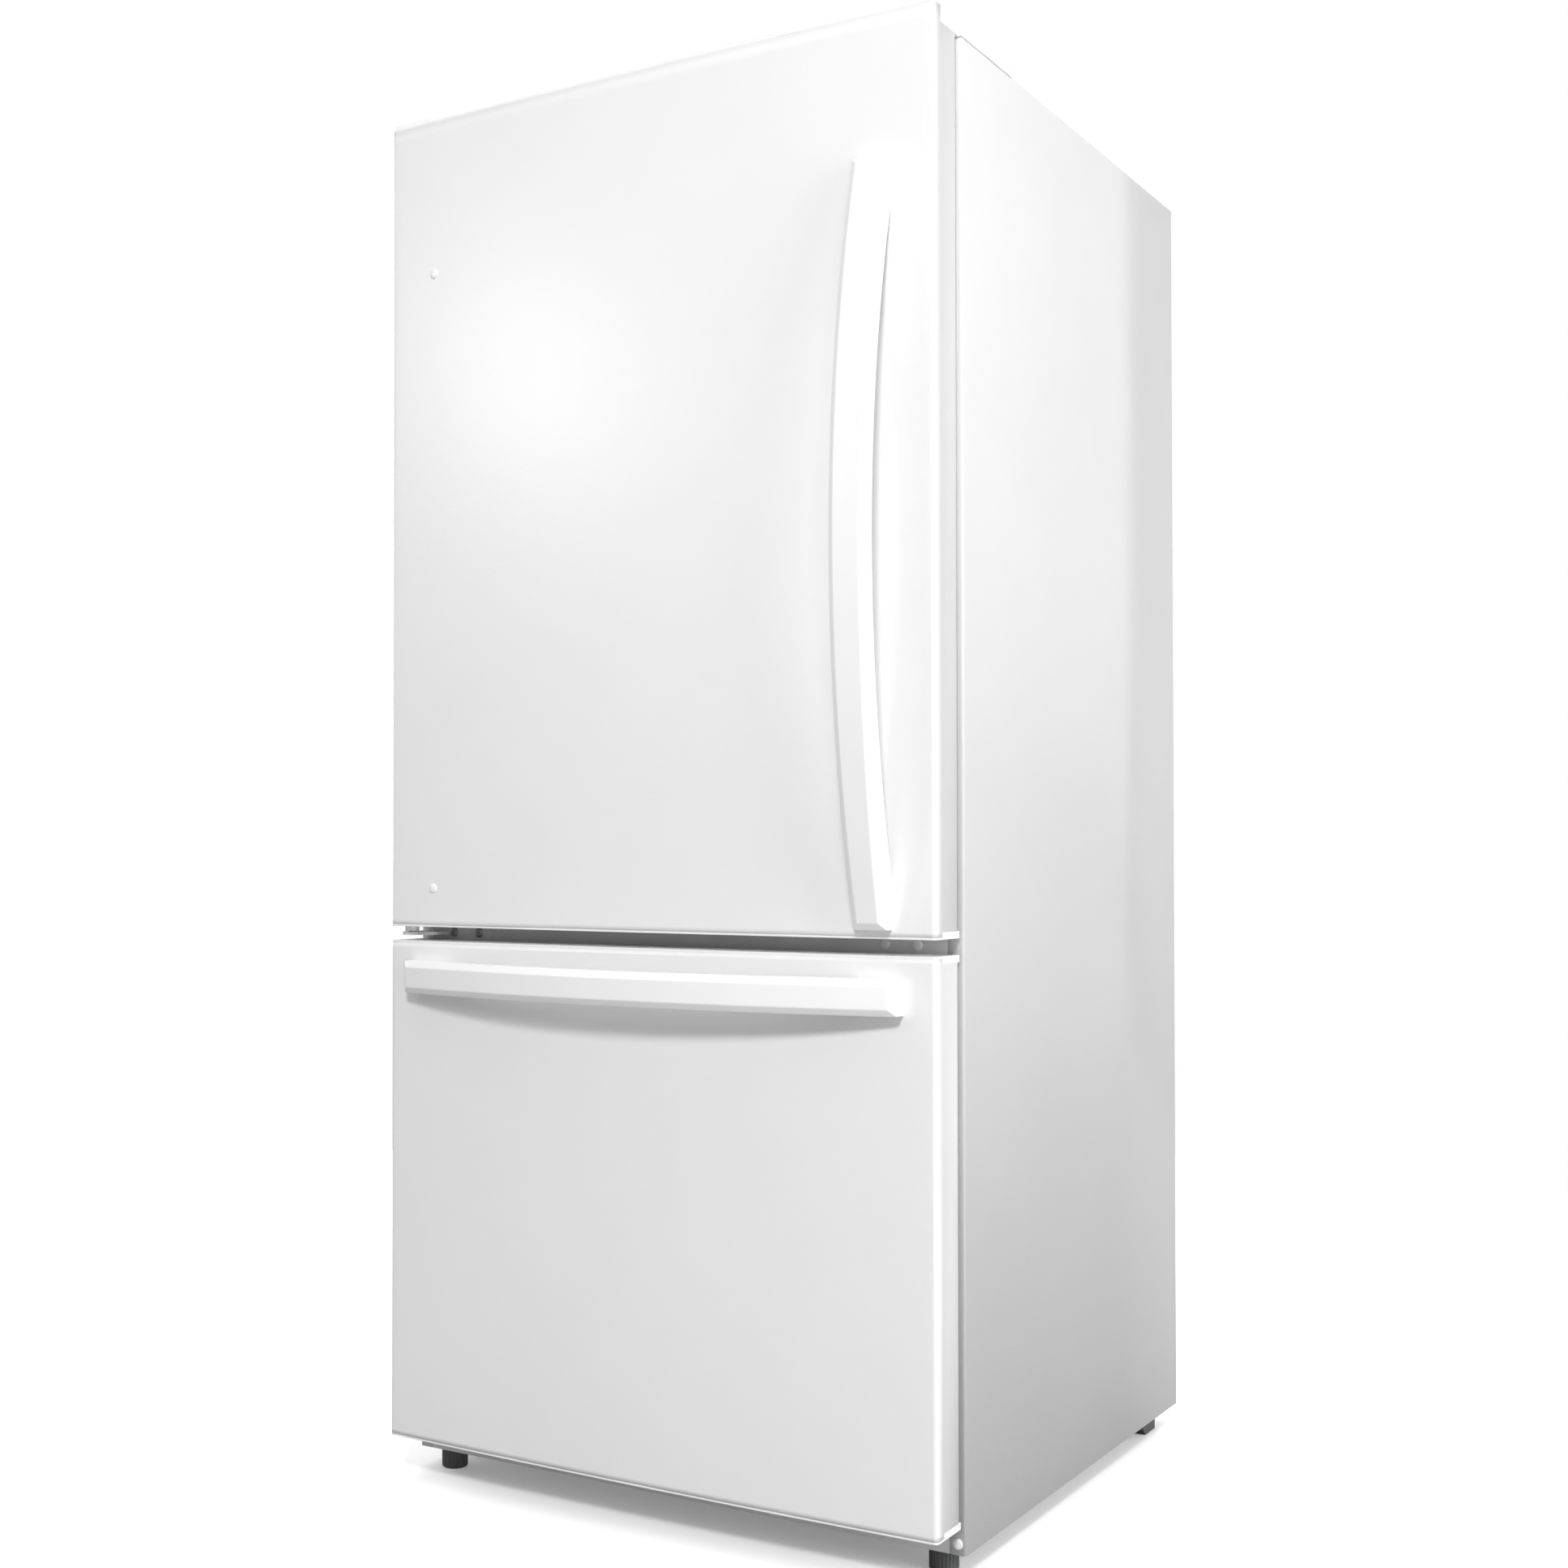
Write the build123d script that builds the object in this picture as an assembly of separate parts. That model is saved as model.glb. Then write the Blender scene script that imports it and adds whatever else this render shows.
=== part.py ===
"""Bottom-mount refrigerator: one door over a pull-out freezer drawer.

Frame: +X to the right of someone facing the door, +Y into the cabinet, +Z up, floor at Z = 0.
Pieces are drawn with the cabinet's front plane at Y = 0, and are moved on export so that the
origin is at the bottom centre of the whole object's box.
"""
import os
from math import cos, radians, sin, sqrt

from build123d import *

# ---- overall sizes (mm) -----------------------------------------------------------------
CABINET_WIDTH = 755.0
CABINET_DEPTH = 720.0
FLOOR_GAP = 26.0          # floor to the cabinet's underside
DRAWER_LIFT = 30.5        # cabinet's underside to the drawer front's lower edge
DRAWER_HEIGHT = 621.5
DOOR_GAP = 18.0           # between the drawer front and the door
DOOR_HEIGHT = 1009.5
DOOR_RISE = 20.0          # the door's top above the cabinet's top
DOOR_INSET = 3.5          # cabinet's side to the door's side edge
DOOR_THICKNESS = 56.0     # at the side edges
DOOR_CROWN = 6.0          # how far the middle of the front stands proud of its edges
DOOR_EDGE_RADIUS = 5.5
GASKET_GAP = 10.0         # cabinet's front plane to the back of the door

# ---- sheets, walls and liners -----------------------------------------------------------
SHEET = 1.0               # cabinet's steel sheet
DOOR_SHEET = 0.8          # door's steel skin
LINER = 2.0               # vacuum-formed liners
FRONT_FLANGE = 19.0       # turned-in front edge of the cabinet sheet
JOINT_LINE = 0.3          # hairline gap between the flange and what it frames
CABINET_EDGE_RADIUS = 3.0
LINER_CORNER_RADIUS = 12.0
CUT = 1.0                 # how far a cutter runs past the piece it cuts
SIDE_WALL = 45.0          # outer face to the inside of the liner
TOP_WALL = 50.0
BACK_WALL = 62.0
FLOOR_WALL = 66.0
MULLION = 64.0            # wall between the two compartments
BASE_SHEET = 2.0
BOTTOM_RAIL_HEIGHT = 47.0
RAIL_SHEET = 1.2
RAIL_RETURN = 14.0

# ---- machine compartment, behind and under the freezer ----------------------------------
MACHINE_DEPTH = 250.0
MACHINE_HEIGHT = 242.0
STEP_WALL = 62.0          # insulation over and in front of the machine compartment
COVER_SHEET = 2.0
COVER_MARGIN = 3.0
LOUVRE_LENGTH = 150.0
LOUVRE_HEIGHT = 6.0
LOUVRE_PITCH = 18.0
LOUVRE_ROWS = 8
LOUVRE_COLUMNS = 3
SHROUD_X = -50.0          # fan's shroud, left of the cabinet's middle line
SHROUD_SHEET = 3.0
FAN_CLEARANCE = 5.0
CONDENSER_FAN_RADIUS = 75.0
FAN_SHAFT_RADIUS = 3.0
SHAFT_CLEARANCE = 0.05
FAN_HUB_RADIUS = 16.0
FAN_HUB_LENGTH = 18.0
FAN_BLADES = 5
BLADE_SHEET = 2.0
BLADE_PITCH_ANGLE = 28.0
BLADE_SHARE = 0.8         # a blade's depth along the axis, as a share of the hub's length
MOTOR_ARM_ANGLES = (90, 210, 330)
CONDENSER_MOTOR_RADIUS = 28.0
CONDENSER_MOTOR_LENGTH = 40.0
MOTOR_GAP = 4.0           # fan hub to motor
PAN_WALL = 2.0
PAN_HEIGHT = 34.0
COIL_TUBE_RADIUS = 4.0
COIL_HEIGHT = 150.0
COIL_FINS = 14
COIL_ROWS = 4
COIL_COLUMNS = 3
FIN_SHEET = 1.0
COMPRESSOR_INSET = 192.5  # cabinet's right side to the compressor's middle
COMPRESSOR_RADIUS = 78.0
COMPRESSOR_HEIGHT = 165.0
COMPRESSOR_CROWN_RADIUS = 34.0
COMPRESSOR_FOOT_SIZE = 176.0
COMPRESSOR_FOOT_SHEET = 3.0
GROMMET_RADIUS = 11.0
GROMMET_HEIGHT = 15.0
LINE_RADIUS = 3.2         # refrigerant tubes
LINE_BEND = 18.0
DRIER_RADIUS = 10.0
DRIER_LENGTH = 90.0
INLET_X = -210.0
INLET_WIDTH = 34.0
INLET_HEIGHT = 26.0

# ---- hinges -----------------------------------------------------------------------------
HINGE_INSET = 13.0        # the door's left edge to the hinge axis
HINGE_FORWARD = 40.0      # hinge axis in front of the cabinet's front plane
PIN_RADIUS = 4.5
PIN_CLEARANCE = 0.06
PIN_ENGAGEMENT = 22.0
BOSS_RADIUS = 9.0
HINGE_PLATE = 4.0
HINGE_END_RADIUS = 12.0
HINGE_REACH_X = 31.5      # plate's reach to the right of the hinge axis
HINGE_FOOT_DEPTH = 110.0
HINGE_RUN_GAP = 1.0       # vertical gap between a hinge plate and the door
MIDDLE_FLANGE_WIDTH = 84.0
MIDDLE_FLANGE_HEIGHT = 22.0
MIDDLE_FLANGE_SHEET = 3.0
MIDDLE_SCREW_INSETS = (39.0, 79.0)   # hinge axis to each of the middle hinge's screws
SCREW_HEAD_RADIUS = 6.0
SCREW_HEAD_HEIGHT = 3.0
SCREW_RADIUS = 2.4
PLUG_RADIUS = 6.0
PLUG_HEIGHT = 1.8
FLANGE_PLUG_LIFT = 12.2   # cabinet's underside to the plug in its right flange

# ---- top cover --------------------------------------------------------------------------
COVER_DEPTH = 146.0
COVER_HEIGHT = 8.5
COVER_WALL = 2.0
HOOD_HEIGHT = 10.0        # hinge hood above the door's top
HOOD_GAP = 1.2            # hood's lower edge above the door's top
HOOD_BACK = 130.0

# ---- door and drawer ends ---------------------------------------------------------------
CAP_LIP = 2.5
CAP_SIDE_LIP = 8.0
CAP_FRONT_LAND = 17.0     # full-height front strip of the door's top cap
CAP_STEP = 12.0           # the top cap's rear part below its front strip
CAP_TAIL = 5.0            # the caps' side lips run back this far into the gasket gap
CAP_TAIL_WIDTH = 8.0
GASKET_INSET = 9.0
GASKET_WIDTH = 14.0
GASKET_REST_GAP = 0.5     # gasket to cabinet with the door shut
GASKET_MARGIN = 8.0

# ---- handles ----------------------------------------------------------------------------
DOOR_HANDLE_INSET = 70.5  # door's right edge to the handle's middle line
DOOR_HANDLE_DROP = 162.0   # the door's top edge down to the handle's upper end
DOOR_HANDLE_LIFT = 9.5    # the handle's lower end above the door's lower edge
DOOR_HANDLE_REACH = 70.0
DRAWER_HANDLE_INSET = 37.0  # the drawer's side edges to the handle's ends
DRAWER_HANDLE_DROP = 44.0  # the drawer's top edge down to the handle's middle line
DRAWER_HANDLE_REACH = 58.0
HANDLE_END_WIDTH = 40.0
DOOR_HANDLE_MID_WIDTH = 46.0
DRAWER_HANDLE_MID_WIDTH = 40.0
HANDLE_END_HEIGHT = 18.0
HANDLE_FOOT = 54.0        # length of each foot that sits on the door
HANDLE_THICKNESS = 18.0   # at mid length
HANDLE_BEVEL_WIDTH = 7.5
HANDLE_BEVEL_DEPTH = 5.7
HANDLE_SINK = 12.0        # how far the blank runs into the door before it is cut to its curve
HANDLE_LEAST_BOW = 0.01   # keeps a handle's side an arc where its two widths are the same
DOOR_PLUG_INSET = 69.0    # door's left edge to the plugs
DOOR_PLUG_RADIUS = 5.8
DOOR_PLUG_DOME = 2.2
DOOR_PLUG_ROUND = 2.0
HANDLE_SCREW_INSET = 35.0  # handle's end to its screw, which the plugs mirror
PLUG_RAISE = 3.5          # plugs' middle above the handle's middle

# ---- feet -------------------------------------------------------------------------------
FOOT_INSET = 36.5         # cabinet's sides to the middles of the levelling feet
FOOT_Y = 24.0
FOOT_RADIUS = 16.5
FOOT_PAD_HEIGHT = 24.0
FOOT_RIBS = 24
FOOT_RIB_RADIUS = 1.0
FOOT_EDGE_RADIUS = 2.5
STEM_RADIUS = 4.0
STEM_TOP = 62.0
NUT_RADIUS = 9.0
NUT_HEIGHT = 14.0
FOOT_POCKET_RADIUS = 12.0
SKID_WIDTH = 33.0
SKID_INSET = 14.8         # cabinet's side to the skid's outer face
SKID_DEPTH = 48.0
SKID_BACK = 47.0          # cabinet's back to the skid's rear face
SKID_CHAMFER = 9.0

# ---- fresh food compartment -------------------------------------------------------------
SHELF_FRONT = 128.0       # front edges of the shelves, behind the cabinet's front plane
LADDER_X = 150.0
LADDER_WIDTH = 16.0
LADDER_SHEET = 4.0
LADDER_SLOTS = 18
SHELF_GAP = 6.0
SHELF_FRAME_HEIGHT = 20.0
SHELF_RIM = 14.0
GLASS = 4.0
SHELF_LIFTS = (440.0, 640.0, 710.0)   # lower, upper left and upper right shelf
ARM_HEIGHT = 34.0
ARM_SHEET = 3.0
TOWER_WIDTH = 130.0
TOWER_DEPTH = 26.0
TOWER_WALL = 2.5
TOWER_VENTS = 5
HOUSING_WIDTH = 320.0
HOUSING_DEPTH = 190.0
HOUSING_HEIGHT = 50.0
HOUSING_WALL = 2.5
HOUSING_FRONT = 140.0
LENS_DEPTH = 110.0
LENS_HEIGHT = 9.0
LENS_MARGIN = 40.0
KNOB_RADIUS = 18.0
KNOB_HEIGHT = 14.0
KNOB_GAP = 0.5
KNOB_GRIP = 7.0
KNOB_CHAMFER = 2.0
KNOB_X = 90.0
KNOB_SHAFT_RADIUS = 3.0
CRISPER_ZONE = 222.0      # floor to the top of the glass over the crispers
CRISPER_FRONT = 122.0
CRISPER_DEPTH = 430.0
CRISPER_WALL = 2.5
CRISPER_LIFT = 6.0
CRISPER_HEIGHT = 186.0
CRISPER_RIM = 8.0
CRISPER_RIM_HEIGHT = 4.0
CRISPER_SIDE_GAP = 2.0
CRISPER_DOOR_CLEARANCE = 14.0   # liner's side to a crisper's rim, so that it passes the open door
CRISPER_GRIP_DROP = 34.0
CRISPER_GRIP_HALF = 51.0
RUNNER_HEIGHT = 4.0
DIVIDER = 6.0
SLIDE_GAP = 0.4

# ---- door's inside ----------------------------------------------------------------------
DIKE_OUTER = 325.0        # half width over the door liner's side walls
DIKE_WIDTH = 26.0
DIKE_REACH = 52.0         # door liner's side walls, into the compartment
BIN_REACH = 98.0          # bins' inner faces, into the compartment
BIN_WALL = 2.5
BIN_HEIGHT = 92.0
BIN_LIFTS = (30.0, 290.0, 530.0)      # above the compartment's floor
BIN_SIDE_GAP = 0.5
DAIRY_LIFT = 735.0
DAIRY_WIDTH = 300.0
DAIRY_HEIGHT = 88.0
DAIRY_REACH = 84.0
LID_SHEET = 2.5
LID_PIN_RADIUS = 2.5
LID_GAP = 0.5

# ---- freezer ----------------------------------------------------------------------------
BAFFLE_FORWARD = 68.0     # freezer's air baffle in front of the liner's back
BAFFLE_SHEET = 3.0
BAFFLE_VENTS = 6
VENT_SHARE = 0.55         # a vent's height as a share of the vents' spacing
RETURN_SLOTS = 12
RETURN_SHARE = 0.9        # share of the panel's width that the return slots take up
EVAPORATOR_WIDTH = 480.0
EVAPORATOR_DEPTH = 44.0
EVAPORATOR_HEIGHT = 130.0
EVAPORATOR_FINS = 17
EVAPORATOR_ROWS = 4
EVAPORATOR_COLUMNS = 2
HEATER_RADIUS = 5.0
FREEZER_FAN_RADIUS = 52.0
FREEZER_MOTOR_RADIUS = 22.0
FREEZER_MOTOR_LENGTH = 24.0
FREEZER_HUB_LENGTH = 14.0
FREEZER_PLATE_HALF = 31.0
FREEZER_PLATE_SHEET = 6.0
DRAWER_FIELD = 3.6        # raised field of the drawer front's liner
RAIL_HEIGHT = 36.0
RAIL_MEMBER = 4.4
RAIL_GAP = 0.4
RAIL_WEB_SHARE = 0.6      # web's thickness as a share of the member's
RAIL_LIP_SHARE = 0.3      # each lip's height as a share of the member's
RAIL_FRONT = 15.0
RAIL_LENGTH = 450.0
RAIL_LIFT = 310.0         # freezer floor to the rails' lower edge
BASKET_SIDE_GAP = 3.0
BASKET_WALL = 3.0
BASKET_BACK_GAP = 22.0
BASKET_LIFT = 14.0
BASKET_HEIGHT = 370.0
BASKET_FLANGE = 4.0
TRAY_DEPTH = 180.0
TRAY_HEIGHT = 110.0
TRAY_SIDE_GAP = 8.0
TRAY_WALL = 2.5
TRAY_LEDGE = 3.0
TRAY_FRONT = 12.0

# ---- places worked out from the sizes above ---------------------------------------------
HALF_WIDTH = CABINET_WIDTH / 2
HALF_DOOR = HALF_WIDTH - DOOR_INSET
DOOR_WIDTH = 2 * HALF_DOOR
FOOT_X = HALF_WIDTH - FOOT_INSET
COMPRESSOR_X = HALF_WIDTH - COMPRESSOR_INSET
DRAWER_BOTTOM = FLOOR_GAP + DRAWER_LIFT
DRAWER_TOP = DRAWER_BOTTOM + DRAWER_HEIGHT
DOOR_BOTTOM = DRAWER_TOP + DOOR_GAP
DOOR_TOP = DOOR_BOTTOM + DOOR_HEIGHT
CABINET_TOP = DOOR_TOP - DOOR_RISE
GAP_MIDDLE = DRAWER_TOP + DOOR_GAP / 2
DOOR_BACK = -GASKET_GAP
DOOR_EDGE_FRONT = DOOR_BACK - DOOR_THICKNESS
FLANGE_INNER = HALF_WIDTH - FRONT_FLANGE
FRAME_HALF = FLANGE_INNER - JOINT_LINE
LINER_HALF = HALF_WIDTH - SIDE_WALL
LINER_OUTER = LINER_HALF + LINER
FOOD_FLOOR = GAP_MIDDLE + MULLION / 2
FOOD_CEILING = CABINET_TOP - TOP_WALL
FREEZER_CEILING = GAP_MIDDLE - MULLION / 2
FREEZER_FLOOR = FLOOR_GAP + FLOOR_WALL
LINER_BACK = CABINET_DEPTH - BACK_WALL
BASE_TOP = FLOOR_GAP + BASE_SHEET
PANEL_FRONT = CABINET_DEPTH - SHEET
MACHINE_FRONT = CABINET_DEPTH - MACHINE_DEPTH
MACHINE_CEILING = BASE_TOP + MACHINE_HEIGHT
STEP_FRONT = MACHINE_FRONT - STEP_WALL
STEP_TOP = MACHINE_CEILING + SHEET + STEP_WALL
HINGE_X = -HALF_DOOR + HINGE_INSET
HINGE_Y = -HINGE_FORWARD
MIDDLE_PLATE_TOP = DOOR_BOTTOM - DOOR_GAP / 2 + HINGE_RUN_GAP
TOP_PLATE_BOTTOM = DOOR_TOP + 2 * HINGE_RUN_GAP
GASKET_HALF = HALF_DOOR - GASKET_INSET
LINER_SHEET_HALF = HALF_DOOR - 2 * DOOR_SHEET - GASKET_INSET
SHELF_BACK = LINER_BACK - LADDER_SHEET - TOWER_DEPTH
RAIL_BOTTOM = FREEZER_FLOOR + RAIL_LIFT
RAIL_TOP = RAIL_BOTTOM + RAIL_HEIGHT
RAIL_STEP = RAIL_MEMBER + RAIL_GAP
BASKET_HALF = LINER_HALF - 3 * RAIL_STEP - BASKET_SIDE_GAP
BASKET_BOTTOM = FREEZER_FLOOR + BASKET_LIFT
BASKET_TOP = BASKET_BOTTOM + BASKET_HEIGHT
BASKET_BACK = STEP_FRONT - BASKET_BACK_GAP
BAFFLE_FRONT = LINER_BACK - BAFFLE_FORWARD
CRISPER_GLASS_TOP = FOOD_FLOOR + CRISPER_ZONE
CRISPER_BOTTOM = FOOD_FLOOR + CRISPER_LIFT
CRISPER_TOP = CRISPER_BOTTOM + CRISPER_HEIGHT
CRISPER_OUTER = LINER_HALF - CRISPER_RIM - CRISPER_DOOR_CLEARANCE
CRISPER_INNER = DIVIDER / 2 + CRISPER_RIM + CRISPER_SIDE_GAP
BIN_HALF = DIKE_OUTER - DIKE_WIDTH - BIN_SIDE_GAP
DOOR_HANDLE_X = HALF_DOOR - DOOR_HANDLE_INSET
DOOR_PLUG_X = DOOR_PLUG_INSET - HALF_DOOR
DOOR_HANDLE_LENGTH = DOOR_HEIGHT - DOOR_HANDLE_LIFT - DOOR_HANDLE_DROP
DRAWER_HANDLE_LENGTH = DOOR_WIDTH - 2 * DRAWER_HANDLE_INSET
HANDLE_FRONT_SLOPE = (DOOR_HANDLE_X / HALF_DOOR) ** 2
HANDLE_TOP_Y = DOOR_EDGE_FRONT - DOOR_CROWN * (1 - HANDLE_FRONT_SLOPE) - DOOR_HANDLE_REACH
DOOR_HANDLE_MIDDLE = DOOR_BOTTOM + DOOR_HANDLE_LIFT + DOOR_HANDLE_LENGTH / 2
MACHINE_MIDDLE = (MACHINE_FRONT + CABINET_DEPTH) / 2
FAN_Z = BASE_TOP + MACHINE_HEIGHT / 2
EVAPORATOR_Y = BAFFLE_FRONT + BAFFLE_SHEET + (BAFFLE_FORWARD - BAFFLE_SHEET) / 2
EVAPORATOR_BOTTOM = STEP_TOP + 4 * HEATER_RADIUS
FREEZER_FAN_Z = EVAPORATOR_BOTTOM + EVAPORATOR_HEIGHT + FREEZER_FAN_RADIUS + 3 * FAN_CLEARANCE
HOUSING_BOTTOM = FOOD_CEILING - HOUSING_HEIGHT
KNOB_Z = FOOD_CEILING - HOUSING_HEIGHT / 2
DAIRY_LEFT = BIN_HALF - DAIRY_WIDTH
DAIRY_TOP = FOOD_FLOOR + DAIRY_LIFT + DAIRY_HEIGHT
ORIGIN_SHIFT = -(HANDLE_TOP_Y + CABINET_DEPTH) / 2


# ---- small helpers ----------------------------------------------------------------------
def block(x0, x1, y0, y1, z0, z1):
    """A box between two corners."""
    middle = Pos((x0 + x1) / 2, (y0 + y1) / 2, (z0 + z1) / 2)
    return middle * Box(x1 - x0, y1 - y0, z1 - z0)


def rod(radius, start, end):
    """A round bar between two points."""
    plane = Plane(origin=start, z_dir=Vector(*end) - Vector(*start))
    return plane * Cylinder(radius, (Vector(*end) - Vector(*start)).length,
                            align=(Align.CENTER, Align.CENTER, Align.MIN))


def mirrored(shape):
    """The same piece on the other side of the middle line."""
    return mirror(shape, about=Plane.YZ)


def solids(*shapes):
    """Every solid of several shapes, kept apart."""
    return [solid for shape in shapes for solid in shape.solids()]


def save(name, pieces):
    """Write one node; a list stays a group of separate solids."""
    group = pieces if isinstance(pieces, list) else pieces.solids()
    body = group[0] if len(group) == 1 else Compound(group)
    export_step(body.moved(Location((0, ORIGIN_SHIFT, 0))), f"parts/{name}.step")


# ---- cabinet ----------------------------------------------------------------------------
def cabinet_block(inset):
    """The cabinet's outer form, or its inside when inset by the sheet."""
    form = block(-HALF_WIDTH + inset, HALF_WIDTH - inset, inset, CABINET_DEPTH - SHEET + inset,
                 FLOOR_GAP, CABINET_TOP - inset)
    front = form.faces().sort_by(Axis.Y)[0].edges()
    upright = front.filter_by(Axis.Z)
    top = form.faces().sort_by(Axis.Z)[-1].edges().filter_by(Axis.Y)
    return fillet(upright + top, CABINET_EDGE_RADIUS - inset)


def cabinet_wrapper():
    """One folded sheet: both sides, the top, and the front edge turned inwards."""
    window = block(-FLANGE_INNER, FLANGE_INNER, -SHEET, 2 * SHEET,
                   0, CABINET_TOP - FRONT_FLANGE)
    return cabinet_block(0) - cabinet_block(SHEET) - window


def back_panel():
    """Rear sheet, folded forwards and down around the machine compartment."""
    half = HALF_WIDTH - SHEET
    upright = block(-half, half, PANEL_FRONT, CABINET_DEPTH, MACHINE_CEILING, CABINET_TOP - SHEET)
    roof = block(-half, half, MACHINE_FRONT, CABINET_DEPTH, MACHINE_CEILING,
                 MACHINE_CEILING + SHEET)
    bulkhead = block(-half, half, MACHINE_FRONT, MACHINE_FRONT + SHEET, BASE_TOP,
                     MACHINE_CEILING + SHEET)
    return upright + roof + bulkhead


def cabinet_insulation():
    """Foam between the sheet and the liners, as its flat walls, each face to face."""
    half = HALF_WIDTH - SHEET
    top = CABINET_TOP - SHEET
    roof = MACHINE_CEILING + SHEET
    step_front = STEP_FRONT + LINER
    step_top = STEP_TOP - LINER
    back = LINER_BACK + LINER
    ceiling = FOOD_CEILING + LINER
    side_front = block(LINER_OUTER, half, LINER, MACHINE_FRONT, BASE_TOP, top)
    side_back = block(LINER_OUTER, half, MACHINE_FRONT, PANEL_FRONT, roof, top)
    inside = cabinet_block(SHEET)
    floor = block(-LINER_OUTER, LINER_OUTER, LINER, step_front, BASE_TOP, FREEZER_FLOOR - LINER)
    mullion = block(-LINER_OUTER, LINER_OUTER, LINER, back, FREEZER_CEILING + LINER,
                    FOOD_FLOOR - LINER)
    walls = [
        block(-LINER_OUTER, LINER_OUTER, LINER, PANEL_FRONT, ceiling, top),
        mullion - centre_rail(),
        block(-LINER_OUTER, LINER_OUTER, back, PANEL_FRONT, roof, ceiling),
        block(-LINER_OUTER, LINER_OUTER, step_front, back, roof, step_top),
        block(-LINER_OUTER, LINER_OUTER, step_front, MACHINE_FRONT, BASE_TOP, roof),
        floor,
    ]
    for side in (side_front, side_back):
        walls += [side & inside, mirrored(side) & inside]
    pocket = rod(FOOT_POCKET_RADIUS, (FOOT_X, FOOT_Y, 0), (FOOT_X, FOOT_Y, STEM_TOP + BASE_SHEET))
    pockets = pocket + mirrored(pocket)
    return solids(*[wall - pockets for wall in walls])


def liner_flange(bottom, top):
    """Flat border of a liner, which tucks against the cabinet's front flange."""
    return block(-FRAME_HALF, FRAME_HALF, 0, LINER, bottom, top)


def fresh_food_liner():
    """Vacuum-formed box of the upper compartment, open to the front."""
    shell = block(-LINER_OUTER, LINER_OUTER, 0, LINER_BACK + LINER, FOOD_FLOOR - LINER,
                  FOOD_CEILING + LINER)
    shell += liner_flange(FOOD_FLOOR - LINER, CABINET_TOP - FRONT_FLANGE - JOINT_LINE)
    room = block(-LINER_HALF, LINER_HALF, -LINER, LINER_BACK, FOOD_FLOOR, FOOD_CEILING)
    back = room.faces().sort_by(Axis.Y)[-1].edges()
    long_edges = room.edges().filter_by(Axis.Y)
    return shell - fillet(back + long_edges, LINER_CORNER_RADIUS)


def freezer_outline(grow, front):
    """Stepped side view of the freezer, in Y and Z."""
    points = [
        (front, FREEZER_FLOOR - grow),
        (STEP_FRONT + grow, FREEZER_FLOOR - grow),
        (STEP_FRONT + grow, STEP_TOP - grow),
        (LINER_BACK + grow, STEP_TOP - grow),
        (LINER_BACK + grow, FREEZER_CEILING + grow),
        (front, FREEZER_CEILING + grow),
    ]
    return Plane.YZ * make_face(Polyline(*points, close=True))


def freezer_liner():
    """Vacuum-formed box of the freezer, stepped over the machine compartment."""
    shell = extrude(freezer_outline(LINER, 0), LINER_OUTER, both=True)
    shell += liner_flange(FLOOR_GAP + BASE_SHEET + BOTTOM_RAIL_HEIGHT + JOINT_LINE,
                          FREEZER_CEILING + LINER)
    return shell - extrude(freezer_outline(0, -LINER), LINER_HALF, both=True)


def base_frame():
    """Steel base: floor sheet, front bottom rail and the nuts of the levelling feet."""
    half = HALF_WIDTH - SHEET
    sheet = block(-half, half, RAIL_SHEET, PANEL_FRONT - COVER_SHEET, FLOOR_GAP, BASE_TOP)
    rail = block(-FRAME_HALF, FRAME_HALF, 0, RAIL_SHEET, FLOOR_GAP, BASE_TOP + BOTTOM_RAIL_HEIGHT)
    nut = rod(NUT_RADIUS, (FOOT_X, FOOT_Y, FLOOR_GAP), (FOOT_X, FOOT_Y, BASE_TOP + NUT_HEIGHT))
    hole = rod(STEM_RADIUS + PIN_CLEARANCE, (FOOT_X, FOOT_Y, 0), (FOOT_X, FOOT_Y, STEM_TOP))
    sheet = sheet & cabinet_block(SHEET)
    return sheet + rail + nut + mirrored(nut) - hole - mirrored(hole)


def centre_rail():
    """Steel channel across the front between the two compartments."""
    low = FREEZER_CEILING + LINER + JOINT_LINE
    high = FOOD_FLOOR - LINER - JOINT_LINE
    face = block(-FRAME_HALF, FRAME_HALF, 0, RAIL_SHEET, low, high)
    inset = (high - low) / 4
    for level in (low + inset, high - inset):
        face += block(-LINER_HALF, LINER_HALF, 0, RAIL_RETURN, level, level + RAIL_SHEET)
    for side in (-1, 1):
        for distance in MIDDLE_SCREW_INSETS:
            x = side * (-HINGE_X - distance)
            face -= rod(SCREW_RADIUS, (x, -SHEET, GAP_MIDDLE), (x, 2 * SHEET, GAP_MIDDLE))
    return face


def bottom_flange_plug():
    """Round plug low on the cabinet's right front flange."""
    x = HALF_WIDTH - FRONT_FLANGE / 2
    z = FLOOR_GAP + FLANGE_PLUG_LIFT
    return rod(PLUG_RADIUS, (x, -PLUG_HEIGHT, z), (x, 0, z))


def hole_plugs():
    """Plugs in the centre rail's spare hinge holes, and one on the right flange."""
    plugs = []
    for distance in MIDDLE_SCREW_INSETS:
        x = -HINGE_X - distance
        head = rod(PLUG_RADIUS, (x, -PLUG_HEIGHT, GAP_MIDDLE), (x, 0, GAP_MIDDLE))
        stem = rod(SCREW_RADIUS, (x, 0, GAP_MIDDLE), (x, RAIL_SHEET, GAP_MIDDLE))
        plugs.append(head + stem)
    return solids(*plugs, bottom_flange_plug())


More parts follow.
